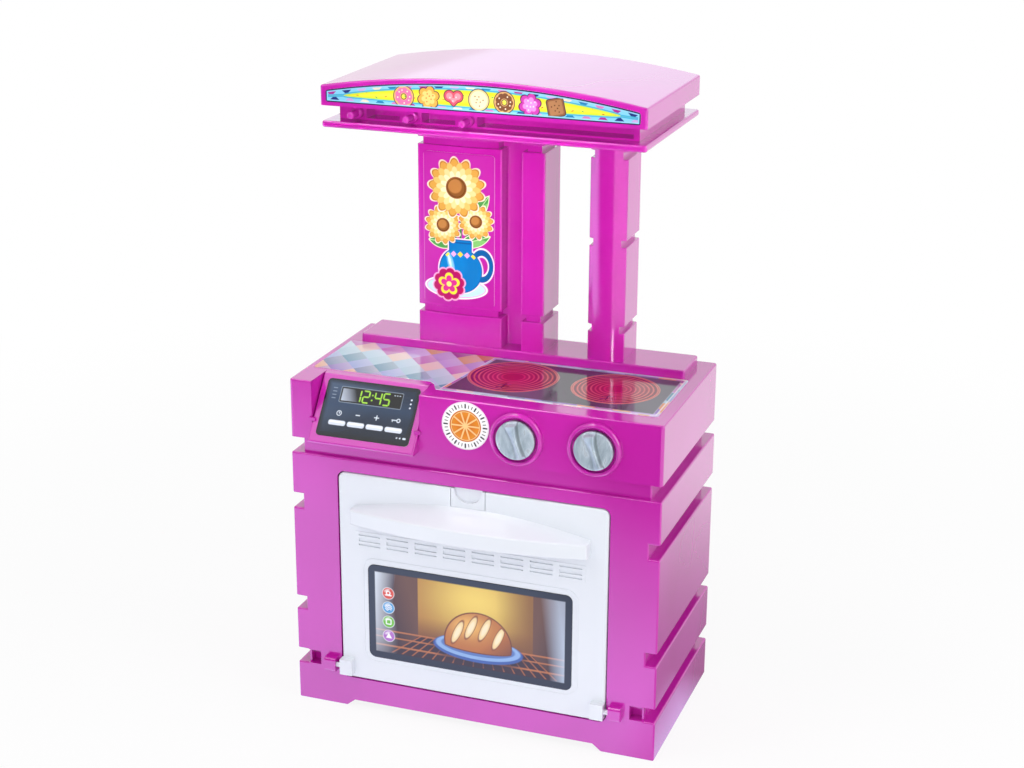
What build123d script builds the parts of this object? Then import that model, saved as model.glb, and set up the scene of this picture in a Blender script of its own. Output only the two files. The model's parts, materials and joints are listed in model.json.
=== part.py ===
"""Toy kitchen: a lower oven cabinet, a console with hob, display and two knobs, two columns and a hood.

Millimetres. +X is to the right of someone playing at it, +Y is to the back, +Z is up.
The origin lies on the floor under the middle of the whole kitchen.
"""

import os

from math import atan2, degrees, hypot

from build123d import *

os.makedirs("parts", exist_ok=True)

# Walls and fits
wall = 2.6
plate_thickness = 2.4
slip_gap = 0.3
shaft_clearance = 0.06
thread_clearance = 0.05
label_thickness = 0.5
edge_round = 1.6
corner_round = 3.0
pick_margin = 0.3

# Lower cabinet
cabinet_width = 370.0
cabinet_depth = 191.0
cabinet_height = 265.0
foot_height = 7.5
foot_length = 51.5
foot_slope = 9.5
foot_pad_side = 22.0
foot_pad_thickness = 3.0
slot_depth = 11.0
slot_levels = [(40.2, 14.5), (99.0, 13.3), (207.4, 14.8)]
pocket_width = 25.0
pocket_depth = 12.0
pocket_rib = 1.8
pocket_rib_setback = 3.0

# Oven opening and door
stile_width = 47.8
top_rail_height = 13.0
opening_bottom = 32.0
opening_radius = 8.0
reveal_depth = 12.0
reveal_wall = 2.2
door_gap = 1.2
door_depth = 12.0
door_proud = 0.6
door_skin = 2.4
door_edge_round = 2.0

# Door handle, vents and window
handle_side_gap = 17.0
handle_drop = 47.8
handle_front_height = 15.5
handle_arch = 14.5
handle_end_reach = 13.0
handle_bow = 14.0
handle_wall = 2.6
handle_round = 2.0
handle_stations = 9
vent_count = 8
vent_side_gap = 19.2
vent_gap = 6.7
vent_height = 12.0
vent_drop = 25.5
vent_recess = 1.0
vent_bar_height = 2.4
vent_border = 2.6
vent_border_height = 0.5
window_side_gap = 31.5
window_top_gap = 15.4
window_lift = 26.8
window_offset = -2.0
window_radius = 7.0
window_bead_gap = 4.5
window_bead_width = 1.4
window_bead_height = 0.6

# Door latch
latch_width = 34.0
latch_height = 27.0
latch_offset = -2.6
latch_thickness = 2.4
latch_corner = 4.0
latch_slit = 0.6
latch_axis_height = 3.0
latch_rib_depth = 5.0
thumb_radius = 14.0
thumb_depth = 4.0
thumb_wall = 1.8
latch_pin_radius = 1.5
latch_pin_length = 4.0
latch_ear_thickness = 3.0
latch_ear_depth = 8.0

# Door hinge
hinge_pin_radius = 2.5
hinge_pin_length = 15.0
hinge_axis_reach = 4.2
hinge_axis_lift = 14.0
hinge_block_width = 13.0
hinge_block_height = 16.0
hinge_block_reach = 8.0
hinge_lug_gap = 5.0
hinge_lug_width = 12.0
hinge_lug_height = 14.3
hinge_lug_reach = 8.4
hinge_lug_round = 3.0

# Oven floor and back
floor_rail_width = 8.0
floor_rail_height = 2.6
back_post_side = 12.0
back_post_depth = 14.0
back_post_lift = 16.0
back_post_drop = 36.0
back_panel_lift = 8.0

# Neck between cabinet and console
neck_height = 15.5
neck_side_inset = 11.0
neck_front_inset = 5.0
neck_rim_depth = 9.0

# Console
console_height = 58.5
ledge_side_inset = 17.0
ledge_back_gap = 9.8
ledge_depth = 51.5
ledge_height = 8.8
console_boss_radius = 5.0
console_boss_inset_x = 20.0
console_boss_inset_front = 48.0
console_boss_inset_back = 16.0

# Display panel: a plate leaning back in a cut-out of the console's front edge
display_left = -161.0
display_width = 108.5
display_thickness = 5.0
display_top_setback = 28.0
display_foot_reach = 14.0
display_foot_height = 3.5
display_side_gap = 1.2
display_nub = 3.0
display_nub_lift = 21.5
display_label_margin_x = 6.5
display_label_margin_top = 4.5
display_label_margin_bottom = 7.0
display_label_radius = 4.0

# Knobs
knob_left_x = 45.8
knob_pitch = 75.1
knob_level = 28.2
knob_radius = 20.4
knob_thickness = 6.4
knob_lift = 0.6
knob_round = 1.2
knob_grip_height = 6.4
knob_grip_base = 11.0
knob_grip_top = 5.0
knob_grip_tilt = 16.0
knob_grip_end_gap = 2.4
knob_shaft_radius = 3.5
knob_shaft_end = 1.5
knob_ring_outer = 26.0
knob_ring_gap = 1.2
knob_ring_height = 6.0
knob_ring_outer_round = 3.6
knob_ring_inner_round = 1.6
knob_boss_radius = 7.0
knob_boss_length = 14.0
knob_clip_radius = 7.5
knob_clip_thickness = 1.8
knob_clip_slot = 1.2

# Labels on the console
worktop_label_left_inset = 7.0
worktop_label_right_inset = 12.0
worktop_label_front = 20.5
worktop_label_step = 39.5
worktop_label_shoulder = 34.4
worktop_label_bend_start = 3.6
worktop_label_bend_middle = 2.4
worktop_label_bend_end = 9.6
worktop_label_back_gap = 1.0
worktop_label_corner = 3.0
round_label_x = -5.0
round_label_level = 34.1
round_label_radius = 23.4

# Columns
column_height = 231.1
column_front_gap = 0.8
column_back_gap = 2.2
wide_column_left = -106.0
wide_panel_width = 87.0
wide_panel_bow = 3.0
web_width = 20.5
web_recess = 20.5
post_width = 23.5
post_recess = 1.5
narrow_column_left = 69.0
narrow_column_width = 37.0
narrow_column_bow = 5.0
groove_depth = 4.6
groove_height = 7.0
groove_edge_round = 0.8
wide_groove_lift = 30.2
narrow_groove_lift = 28.2
middle_groove_lift = 113.2
top_groove_drop = 25.9
column_spigot_inset = 9.0
column_spigot_wall = 2.0
column_spigot_depth = 14.0
column_label_width = 74.0
column_label_lift = 40.2
column_label_height = 152.0
column_label_corner = 4.0
column_label_gap = 0.1

# Hood
tray_half_width = 154.6
tray_back_reach = 11.8
tray_depth = 180.0
tray_thickness = 6.2
tray_round = 2.0
band_height = 14.3
band_side_inset = 11.1
band_front_gap = 17.2
band_back_gap = 12.0
band_front_depth = 22.0
band_pocket_depth = 19.0
band_pocket_bottom = 1.6
band_pocket_height = 9.4
band_pocket_width = 33.0
band_pocket_peg_gap = 7.7
band_pocket_end_gap = 5.5
hood_side_reach = 0.4
hood_front_reach = 0.3
hood_back_gap = 2.3
hood_end_height = 18.5
hood_arch = 13.8
hood_round = 2.2
hood_well_radius = 5.5
hood_well_bore = 3.8
hood_screw_inset_side = 43.0
hood_screw_inset_front = 55.5
hood_screw_inset_back = 12.5
hood_boss_radius = 4.5
hood_label_side = 6.0
hood_label_bottom = 3.6
hood_label_top = 4.2

# Pegs under the hood
peg_first_x = -124.5
peg_pitch = 54.25
peg_level = 6.8
peg_shoulder_radius = 5.4
peg_shoulder_length = 6.0
peg_radius = 3.3
peg_length = 20.0
peg_stem_radius = 2.6
peg_stem_length = 10.0

# Self-tapping screws
screw_head_radius = 3.0
screw_head_height = 2.0
screw_shank_radius = 1.45
screw_length = 10.0
screw_slot_width = 0.9
screw_slot_depth = 1.0

# Worked-out places
handle_reach = handle_end_reach + handle_bow
front_y = (handle_reach - cabinet_depth - tray_back_reach) / 2
back_y = front_y + cabinet_depth
half_width = cabinet_width / 2
inner_half_width = half_width - wall
opening_width = cabinet_width - 2 * stile_width
opening_top = cabinet_height - top_rail_height
pilot_radius = screw_shank_radius + thread_clearance
back_post_levels = (back_post_lift, cabinet_height - back_post_drop)
console_bottom = cabinet_height + neck_height
console_top = console_bottom + console_height
ledge_top = console_top + ledge_height
ledge_half_width = half_width - ledge_side_inset
ledge_back = back_y - ledge_back_gap
ledge_front = ledge_back - ledge_depth
ledge_middle = (ledge_front + ledge_back) / 2
knob_positions = (knob_left_x, knob_left_x + knob_pitch)
knob_height = console_bottom + knob_level
display_nub_height = console_bottom + display_nub_lift
round_label_height = console_bottom + round_label_level
neck_half_width = half_width - neck_side_inset
neck_front = front_y + neck_front_inset
neck_back = back_y - neck_front_inset
neck_depth = neck_back - neck_front
neck_middle = (neck_front + neck_back) / 2
tray_height = ledge_top + column_height
tray_top = tray_height + tray_thickness
tray_back = back_y + tray_back_reach
tray_front = tray_back - tray_depth
band_half_width = tray_half_width - band_side_inset
band_front = tray_front + band_front_gap
hood_half_width = tray_half_width + hood_side_reach
hood_front = tray_front - hood_front_reach
hood_back = tray_back - hood_back_gap
hood_depth = hood_back - hood_front
peg_positions = [peg_first_x + place * peg_pitch for place in range(3)]
hood_bottom = tray_top + band_height
floor_top = opening_bottom - slip_gap
floor_front = front_y + wall + reveal_depth + slip_gap
back_panel_front = back_y - plate_thickness
door_half_width = opening_width / 2 - door_gap
door_bottom = opening_bottom + door_gap
door_height = opening_top - opening_bottom - 2 * door_gap
door_top = door_bottom + door_height
door_middle = door_bottom + door_height / 2
door_face = front_y - door_proud
handle_half_width = door_half_width - handle_side_gap
handle_bottom = door_top - handle_drop
vent_pitch = 2 * (door_half_width - vent_side_gap) / vent_count
vent_width = vent_pitch - vent_gap
vent_bottom = handle_bottom - vent_drop
window_width = 2 * (door_half_width - window_side_gap)
window_bottom = door_bottom + window_lift
window_height = vent_bottom - vent_border - window_top_gap - window_bottom
hinge_axis_y = front_y - hinge_axis_reach
hinge_axis_height = opening_bottom + hinge_axis_lift
column_front = ledge_front + column_front_gap
column_back = ledge_back - column_back_gap
web_front = column_front + web_recess
post_front = column_front + post_recess
top_groove_level = tray_height - top_groove_drop - groove_height
wide_grooves = (ledge_top + wide_groove_lift, top_groove_level)
narrow_grooves = (ledge_top + narrow_groove_lift, ledge_top + middle_groove_lift, top_groove_level)
column_label_bottom = ledge_top + column_label_lift
spigot_front = column_front + wide_panel_bow + column_spigot_inset
spigot_back = column_back - column_spigot_inset
spigot_length = spigot_back - spigot_front
spigot_middle = (spigot_front + spigot_back) / 2
column_feet = [(wide_column_left, wide_panel_width), (narrow_column_left, narrow_column_width)]


def rounded_outline(width, height, radius, grow=0.0, mode=Mode.ADD):
    """A rounded rectangle in the sketch being made, grown all round by a margin."""
    return RectangleRounded(width + 2 * grow, height + 2 * grow, radius + grow, mode=mode)


def screws(name, heads):
    """A group of like screws. Each plane in heads is the seat of a head and faces away from the shank."""
    with BuildPart() as group:
        for seat in heads:
            with BuildSketch(seat):
                Circle(screw_head_radius)
            extrude(amount=screw_head_height)
            with BuildSketch(seat):
                Circle(screw_shank_radius)
            extrude(amount=-screw_length)
            with BuildSketch(seat.offset(screw_head_height)):
                Rectangle(2 * screw_head_radius, screw_slot_width)
                Rectangle(screw_slot_width, 2 * screw_head_radius)
            extrude(amount=-screw_slot_depth, mode=Mode.SUBTRACT)
    group.part.label = name
    return group


# Cabinet: outer form with the side grooves, then the hollow that follows them
with BuildSketch() as cabinet_face:
    with Locations((0, cabinet_height / 2)):
        Rectangle(cabinet_width, cabinet_height)
    for slot_bottom, slot_height in slot_levels:
        with Locations(
            (half_width - slot_depth / 2, slot_bottom + slot_height / 2),
            (slot_depth / 2 - half_width, slot_bottom + slot_height / 2),
        ):
            Rectangle(slot_depth, slot_height, mode=Mode.SUBTRACT)

pocket_bottom, pocket_height = slot_levels[0]

with BuildPart() as cabinet_hollow:
    with BuildSketch(Plane.XZ.offset(-front_y - wall)):
        offset(cabinet_face.sketch, amount=-wall)
        with Locations((0, wall)):
            Rectangle(2 * inner_half_width, 2 * wall)
    extrude(amount=-cabinet_depth)
    with BuildSketch(Plane.XZ.offset(-front_y)):
        for side in (-1, 1):
            with Locations((side * (half_width - pocket_width / 2), pocket_bottom + pocket_height / 2)):
                Rectangle(pocket_width + 2 * wall, pocket_height + 2 * wall)
    extrude(amount=-pocket_depth - wall, mode=Mode.SUBTRACT)

with BuildPart() as cabinet_shell:
    with BuildSketch(Plane.XZ.offset(-front_y)):
        add(cabinet_face.sketch)
    extrude(amount=-cabinet_depth)
    fillet(cabinet_shell.edges().filter_by(Axis.Y).filter_by(
        lambda edge: abs(abs(edge.center().X) - half_width) < pick_margin), edge_round)
    fillet(cabinet_shell.faces().sort_by(Axis.Y)[0].outer_wire().edges().filter_by(
        lambda edge: edge.center().Z > pick_margin), edge_round)
    add(cabinet_hollow.part, mode=Mode.SUBTRACT)
    with BuildSketch(Plane.XZ.offset(-front_y)):
        for side in (-1, 1):
            with Locations((side * (half_width - pocket_width / 2), pocket_bottom + pocket_height / 2)):
                Rectangle(pocket_width, pocket_height)
    extrude(amount=-pocket_depth, mode=Mode.SUBTRACT)
    with BuildSketch(Plane.XZ.offset(-front_y - pocket_rib_setback)):
        for side in (-1, 1):
            with Locations((side * (half_width - pocket_width / 2), pocket_bottom + pocket_height / 2)):
                Rectangle(pocket_rib, pocket_height)
    extrude(amount=pocket_rib_setback - pocket_depth)
    with BuildSketch(Plane.XZ.offset(-front_y)):
        with Locations((0, (opening_bottom + opening_top) / 2)):
            rounded_outline(opening_width, opening_top - opening_bottom, opening_radius, reveal_wall)
    extrude(amount=-wall - reveal_depth)
    with BuildSketch(Plane.XZ.offset(-front_y)):
        with Locations((0, (opening_bottom + opening_top) / 2)):
            rounded_outline(opening_width, opening_top - opening_bottom, opening_radius)
    extrude(amount=-wall - reveal_depth, mode=Mode.SUBTRACT)
    with BuildSketch(Plane.XZ.offset(-front_y)):
        with BuildLine():
            Polyline(
                (foot_length - half_width, 0),
                (foot_length + foot_slope - half_width, foot_height),
                (half_width - foot_length - foot_slope, foot_height),
                (half_width - foot_length, 0),
                close=True,
            )
        make_face()
    extrude(amount=-cabinet_depth, mode=Mode.SUBTRACT)
    pad_x = half_width - edge_round - foot_pad_side / 2
    pad_front = front_y + edge_round + foot_pad_side / 2
    pad_back = back_y - wall - foot_pad_side / 2
    with BuildSketch():
        with Locations((-pad_x, pad_front), (pad_x, pad_front), (-pad_x, pad_back), (pad_x, pad_back)):
            Rectangle(foot_pad_side, foot_pad_side)
    extrude(amount=foot_pad_thickness)
    with BuildSketch(Plane.XY.offset(cabinet_height - wall)):
        with Locations((0, neck_middle)):
            Rectangle(
                2 * (neck_half_width - wall) + 2 * slip_gap,
                neck_depth - 2 * wall + 2 * slip_gap,
            )
    extrude(amount=wall, mode=Mode.SUBTRACT)
    rail_length = back_panel_front - slip_gap - floor_front
    rail_x = inner_half_width - floor_rail_width / 2
    with BuildSketch(Plane.XY.offset(floor_top - plate_thickness)):
        with Locations(
            (-rail_x, floor_front + rail_length / 2),
            (rail_x, floor_front + rail_length / 2),
        ):
            Rectangle(floor_rail_width, rail_length)
    extrude(amount=-floor_rail_height)
    for post_level in back_post_levels:
        with BuildSketch(Plane.XZ.offset(-back_panel_front)):
            for side in (-1, 1):
                with Locations((side * (inner_half_width - slot_depth - back_post_side / 2), post_level)):
                    Rectangle(back_post_side, back_post_side)
                with Locations((side * (inner_half_width - slot_depth / 2), post_level)):
                    Rectangle(slot_depth, wall)
        extrude(amount=back_post_depth)
        with BuildSketch(Plane.XZ.offset(-back_panel_front)):
            for side in (-1, 1):
                with Locations((side * (inner_half_width - slot_depth - back_post_side / 2), post_level)):
                    Circle(pilot_radius)
        extrude(amount=screw_length, mode=Mode.SUBTRACT)
    lug_middle = door_half_width + hinge_lug_gap + hinge_lug_width / 2
    with BuildSketch(Plane.XZ.offset(-front_y)):
        for side in (-1, 1):
            with Locations((side * lug_middle, hinge_axis_height)):
                Rectangle(hinge_lug_width, hinge_lug_height)
    extrude(amount=hinge_lug_reach)
    fillet(cabinet_shell.faces().sort_by(Axis.Y)[0:2].edges().filter_by(Axis.X), hinge_lug_round)
    for side in (-1, 1):
        with BuildSketch(Plane.YZ.offset(side * (door_half_width + hinge_lug_gap))):
            with Locations((hinge_axis_y, hinge_axis_height)):
                Circle(hinge_pin_radius + shaft_clearance)
        extrude(amount=side * (hinge_pin_length - hinge_lug_gap + slip_gap), mode=Mode.SUBTRACT)
cabinet_shell.part.label = "cabinet_shell"

# Oven floor, laid on the cabinet's side rails
with BuildPart() as oven_floor:
    with BuildSketch(Plane.XY.offset(floor_top - plate_thickness)):
        with Locations((0, floor_front + rail_length / 2)):
            Rectangle(2 * (inner_half_width - slip_gap), rail_length)
    extrude(amount=plate_thickness)
oven_floor.part.label = "oven_floor"

# Back panel, let into the cabinet's back
back_seats = [
    Plane(
        origin=(side * (inner_half_width - slot_depth - back_post_side / 2), back_y, post_level),
        x_dir=(1, 0, 0),
        z_dir=(0, 1, 0),
    )
    for side in (-1, 1)
    for post_level in back_post_levels
]
with BuildPart() as back_panel:
    with BuildSketch(Plane.XZ.offset(-back_panel_front)):
        offset(cabinet_face.sketch, amount=-wall - slip_gap)
        with Locations((0, back_panel_lift / 2)):
            Rectangle(cabinet_width, back_panel_lift, mode=Mode.SUBTRACT)
    extrude(amount=-plate_thickness)
    for seat in back_seats:
        with BuildSketch(seat):
            Circle(pilot_radius)
        extrude(amount=-plate_thickness, mode=Mode.SUBTRACT)
back_panel.part.label = "back_panel"
back_screws = screws("back_screws", back_seats)

# Console base: the recessed neck, its plate and the rim that drops into the cabinet
boss_places = [
    (side * (neck_half_width - console_boss_inset_x), place)
    for side in (-1, 1)
    for place in (front_y + console_boss_inset_front, back_y - console_boss_inset_back)
]
with BuildPart() as console_base:
    with BuildSketch(Plane.XY.offset(console_bottom)):
        with Locations((0, (front_y + back_y) / 2)):
            Rectangle(2 * (inner_half_width - slip_gap), cabinet_depth - 2 * wall - 2 * slip_gap)
    extrude(amount=wall)
    with BuildSketch(Plane.XY.offset(cabinet_height)):
        with Locations((0, neck_middle)):
            Rectangle(2 * neck_half_width, neck_depth)
    extrude(amount=neck_height)
    fillet(console_base.edges().filter_by(Axis.Z).filter_by(
        lambda edge: edge.center().Z < console_bottom), edge_round)
    with BuildSketch(Plane.XY.offset(cabinet_height - neck_rim_depth)):
        with Locations((0, neck_middle)):
            Rectangle(2 * (neck_half_width - wall), neck_depth - 2 * wall)
    extrude(amount=neck_rim_depth)
    with BuildSketch(Plane.XY.offset(cabinet_height - neck_rim_depth)):
        with Locations((0, neck_middle)):
            Rectangle(2 * (neck_half_width - 2 * wall), neck_depth - 4 * wall)
    extrude(amount=neck_rim_depth + neck_height, mode=Mode.SUBTRACT)
    with BuildSketch(Plane.XY.offset(console_bottom)):
        with Locations(*boss_places):
            Circle(pilot_radius)
    extrude(amount=wall, mode=Mode.SUBTRACT)
console_base.part.label = "console_base"
console_screws = screws(
    "console_screws",
    [Plane(origin=(x, y, console_bottom), x_dir=(1, 0, 0), z_dir=(0, 0, -1)) for x, y in boss_places],
)

# Side view of the display's slope, as a line from its foot to the worktop
slope_run = display_foot_reach + display_top_setback
slope_rise = console_height - display_foot_height
slope_length = hypot(slope_run, slope_rise)
slope_lean = degrees(atan2(slope_run, slope_rise))
slope_foot = (front_y - display_foot_reach, console_bottom + display_foot_height)
slope_head = (front_y + display_top_setback, console_top)


def behind_slope(depth):
    """The slope's line moved back square to itself: its points at the front plane and at the worktop."""
    level_shift = depth * slope_length / slope_rise
    drop = depth * slope_length / slope_run
    crossing = slope_foot[1] + display_foot_reach * slope_rise / slope_run - drop
    return (front_y, crossing), (front_y + display_top_setback + level_shift, console_top)


def display_wedge(depth, side_margin):
    """Everything in front of the slope's line moved back by depth, over the display's width and a margin."""
    (low_y, low_z), (high_y, high_z) = behind_slope(depth)
    reach = display_foot_reach + display_nub
    with BuildPart() as wedge:
        with BuildSketch(Plane.YZ.offset(display_left - side_margin)):
            with BuildLine():
                Polyline(
                    (low_y, low_z),
                    (high_y, high_z),
                    (high_y + reach * slope_run / slope_rise, high_z + reach),
                    (low_y - reach, high_z + reach),
                    (low_y - reach, low_z),
                    close=True,
                )
            make_face()
        extrude(amount=display_width + 2 * side_margin)
    return wedge.part


# Console: box with a raised ledge, a leaning cut-out and two knob rings
with BuildPart() as console_hollow:
    with BuildSketch(Plane.XY.offset(console_bottom)):
        with Locations((0, (front_y + back_y) / 2)):
            Rectangle(2 * inner_half_width, cabinet_depth - 2 * wall)
    extrude(amount=console_height - wall)
    with BuildSketch(Plane.XY.offset(console_top - wall)):
        with Locations((0, ledge_middle)):
            Rectangle(2 * (ledge_half_width - wall), ledge_depth - 2 * wall)
    extrude(amount=ledge_height)
    add(display_wedge(display_thickness + slip_gap + wall, display_side_gap + wall), mode=Mode.SUBTRACT)
    with BuildSketch(Plane.XY.offset(console_bottom + wall)):
        with Locations(*boss_places):
            Circle(console_boss_radius)
    extrude(amount=console_height, mode=Mode.SUBTRACT)
    with BuildSketch(Plane.XZ.offset(-front_y)):
        with Locations(*[(knob_x, knob_height) for knob_x in knob_positions]):
            Circle(knob_boss_radius)
    extrude(amount=-wall - knob_boss_length, mode=Mode.SUBTRACT)

socket_bottom = ledge_top - wall

with BuildPart() as console_shell:
    with BuildSketch(Plane.XY.offset(console_bottom)):
        with Locations((0, (front_y + back_y) / 2)):
            RectangleRounded(cabinet_width, cabinet_depth, corner_round)
    extrude(amount=console_height)
    fillet(console_shell.faces().sort_by(Axis.Z)[-1].edges(), edge_round)
    with BuildSketch(Plane.XY.offset(console_top)):
        with Locations((0, ledge_middle)):
            RectangleRounded(2 * ledge_half_width, ledge_depth, corner_round)
    extrude(amount=ledge_height)
    fillet(console_shell.faces().sort_by(Axis.Z)[-1].edges(), edge_round)
    add(console_hollow.part, mode=Mode.SUBTRACT)
    add(display_wedge(display_thickness + slip_gap, display_side_gap), mode=Mode.SUBTRACT)
    with BuildSketch(Plane.XY.offset(console_bottom)):
        with Locations(*boss_places):
            Circle(pilot_radius)
    extrude(amount=wall + screw_length, mode=Mode.SUBTRACT)
    ring_inner = knob_radius + knob_ring_gap
    for knob_x in knob_positions:
        with BuildSketch(Plane.XZ.offset(-front_y)):
            with Locations((knob_x, knob_height)):
                Circle(knob_ring_outer)
                Circle(ring_inner, mode=Mode.SUBTRACT)
        extrude(amount=knob_ring_height)
        ring_centre = (knob_x, front_y - knob_ring_height, knob_height)
        crest = console_shell.faces().group_by(Axis.Y)[0].sort_by_distance(ring_centre)[0]
        fillet(crest.outer_wire().edges(), knob_ring_outer_round)
        crests = console_shell.faces().filter_by(Plane.XZ).group_by(Axis.Y)[0]
        crest = crests.sort_by_distance(ring_centre)[0]
        fillet(crest.inner_wires().edges(), knob_ring_inner_round)
        with BuildSketch(Plane.XZ.offset(-front_y)):
            with Locations((knob_x, knob_height)):
                Circle(knob_shaft_radius + shaft_clearance)
        extrude(amount=-wall - knob_boss_length, mode=Mode.SUBTRACT)
    for socket_left, socket_width in column_feet:
        with BuildSketch(Plane.XY.offset(ledge_top)):
            with Locations((socket_left + socket_width / 2, spigot_middle)):
                Rectangle(
                    socket_width - 2 * column_spigot_inset + 2 * slip_gap,
                    spigot_length + 2 * slip_gap,
                )
        extrude(amount=-wall, mode=Mode.SUBTRACT)
console_shell.part.label = "console_shell"

# Display panel: a thick plate on the slope, with a foot in front of the console and a nub at each side
slope_plane = Plane(
    origin=(display_left + display_width / 2, slope_foot[0], slope_foot[1]),
    x_dir=(1, 0, 0),
    z_dir=(0, -slope_rise, slope_run),
)
with BuildPart() as display_panel:
    (low_y, low_z), (high_y, high_z) = behind_slope(display_thickness)
    with BuildSketch(Plane.YZ.offset(display_left)):
        with BuildLine():
            Polyline(
                slope_foot,
                slope_head,
                (high_y, high_z),
                (low_y, low_z),
                (front_y, console_bottom + edge_round),
                (slope_foot[0] + edge_round, console_bottom + edge_round),
                close=True,
            )
        make_face()
    extrude(amount=display_width)
    slope_face = display_panel.faces().sort_by(slope_plane.location.z_axis)[-1]
    fillet(slope_face.edges(), edge_round)
    with BuildSketch(Plane.XZ.offset(-front_y)):
        for side in (-1, 1):
            nub_middle = display_left + display_width / 2 + side * (display_width + display_nub) / 2
            with Locations((nub_middle - side * edge_round, display_nub_height)):
                Rectangle(display_nub + 2 * edge_round, display_nub)
    extrude(amount=display_nub)
display_panel.part.label = "display_panel"

with BuildPart() as display_label:
    label_height = slope_length - display_label_margin_top - display_label_margin_bottom
    with BuildSketch(slope_plane):
        with Locations((0, display_label_margin_bottom + label_height / 2)):
            RectangleRounded(display_width - 2 * display_label_margin_x, label_height, display_label_radius)
    extrude(amount=label_thickness)
display_label.part.label = "display_label"

# Label over the worktop, with its front edge stepped round the display
with BuildPart() as worktop_label:
    label_left = worktop_label_left_inset - half_width
    label_right = half_width - worktop_label_right_inset
    label_back = ledge_front - worktop_label_back_gap
    step_right = display_left + display_width
    with BuildSketch(Plane.XY.offset(console_top)) as worktop_outline:
        with BuildLine():
            Polyline(
                (label_left, front_y + worktop_label_step),
                (step_right - worktop_label_bend_start, front_y + worktop_label_step),
                (step_right + worktop_label_bend_middle, front_y + worktop_label_shoulder),
                (step_right + worktop_label_bend_end, front_y + worktop_label_front),
                (label_right, front_y + worktop_label_front),
                (label_right, label_back),
                (label_left, label_back),
                close=True,
            )
        make_face()
        fillet(worktop_outline.vertices().group_by(Axis.X)[0], worktop_label_corner)
        fillet(worktop_outline.vertices().group_by(Axis.X)[-1], worktop_label_corner)
    extrude(amount=label_thickness)
worktop_label.part.label = "worktop_label"

with BuildPart() as round_label:
    with BuildSketch(Plane.XZ.offset(-front_y)):
        with Locations((round_label_x, round_label_height)):
            Circle(round_label_radius)
    extrude(amount=label_thickness)
round_label.part.label = "round_label"


knob_clip_seat = wall + knob_boss_length + slip_gap
knob_shaft_length = knob_clip_seat + knob_clip_thickness + knob_shaft_end


def knob(name, knob_x):
    """A dial with a bar to grip, and its shaft, which turns in the console's bore."""
    knob_back = Plane.XZ.offset(knob_lift - front_y)
    with BuildPart() as dial:
        with BuildSketch(knob_back):
            with Locations((knob_x, knob_height)):
                Circle(knob_radius)
        extrude(amount=knob_thickness)
        fillet(dial.edges().group_by(Axis.Y)[0], knob_round)
        with BuildSketch(knob_back.offset(knob_thickness)):
            with Locations(Location((knob_x, knob_height, 0), (0, 0, knob_grip_tilt))):
                Rectangle(knob_grip_base, 2 * (knob_radius - knob_grip_end_gap))
        extrude(
            amount=knob_grip_height,
            taper=degrees(atan2((knob_grip_base - knob_grip_top) / 2, knob_grip_height)),
        )
        fillet(dial.faces().sort_by(Axis.Y)[0].edges(), knob_round)
        with BuildSketch(knob_back):
            with Locations((knob_x, knob_height)):
                Circle(knob_shaft_radius)
        extrude(amount=-knob_lift - knob_shaft_length)
    dial.part.label = name
    return dial


def knob_clip(name, knob_x):
    """A split ring that holds the shaft from behind."""
    with BuildPart() as clip:
        with BuildSketch(Plane.XZ.offset(-front_y - knob_clip_seat)):
            with Locations((knob_x, knob_height)):
                Circle(knob_clip_radius)
                Circle(knob_shaft_radius + shaft_clearance, mode=Mode.SUBTRACT)
            with Locations((knob_x, knob_height + knob_clip_radius)):
                Rectangle(knob_clip_slot, 2 * knob_clip_radius, mode=Mode.SUBTRACT)
        extrude(amount=-knob_clip_thickness)
    clip.part.label = name
    return clip


knob_left = knob("knob_left", knob_positions[0])
knob_right = knob("knob_right", knob_positions[1])
knob_clip_left = knob_clip("knob_clip_left", knob_positions[0])
knob_clip_right = knob_clip("knob_clip_right", knob_positions[1])


# Columns: blocks with rounded lips on an inner core, hollow, with a spigot at each end
def column_block(plan, low, high):
    """The column between two levels, with rounded lips where it ends at a groove."""
    with BuildPart() as block:
        with BuildSketch(Plane.XY.offset(low)):
            add(plan)
        extrude(amount=high - low)
        if low > ledge_top:
            fillet(block.faces().sort_by(Axis.Z)[0].edges(), groove_edge_round)
        if high < tray_height:
            fillet(block.faces().sort_by(Axis.Z)[-1].edges(), groove_edge_round)
    return block.part


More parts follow.
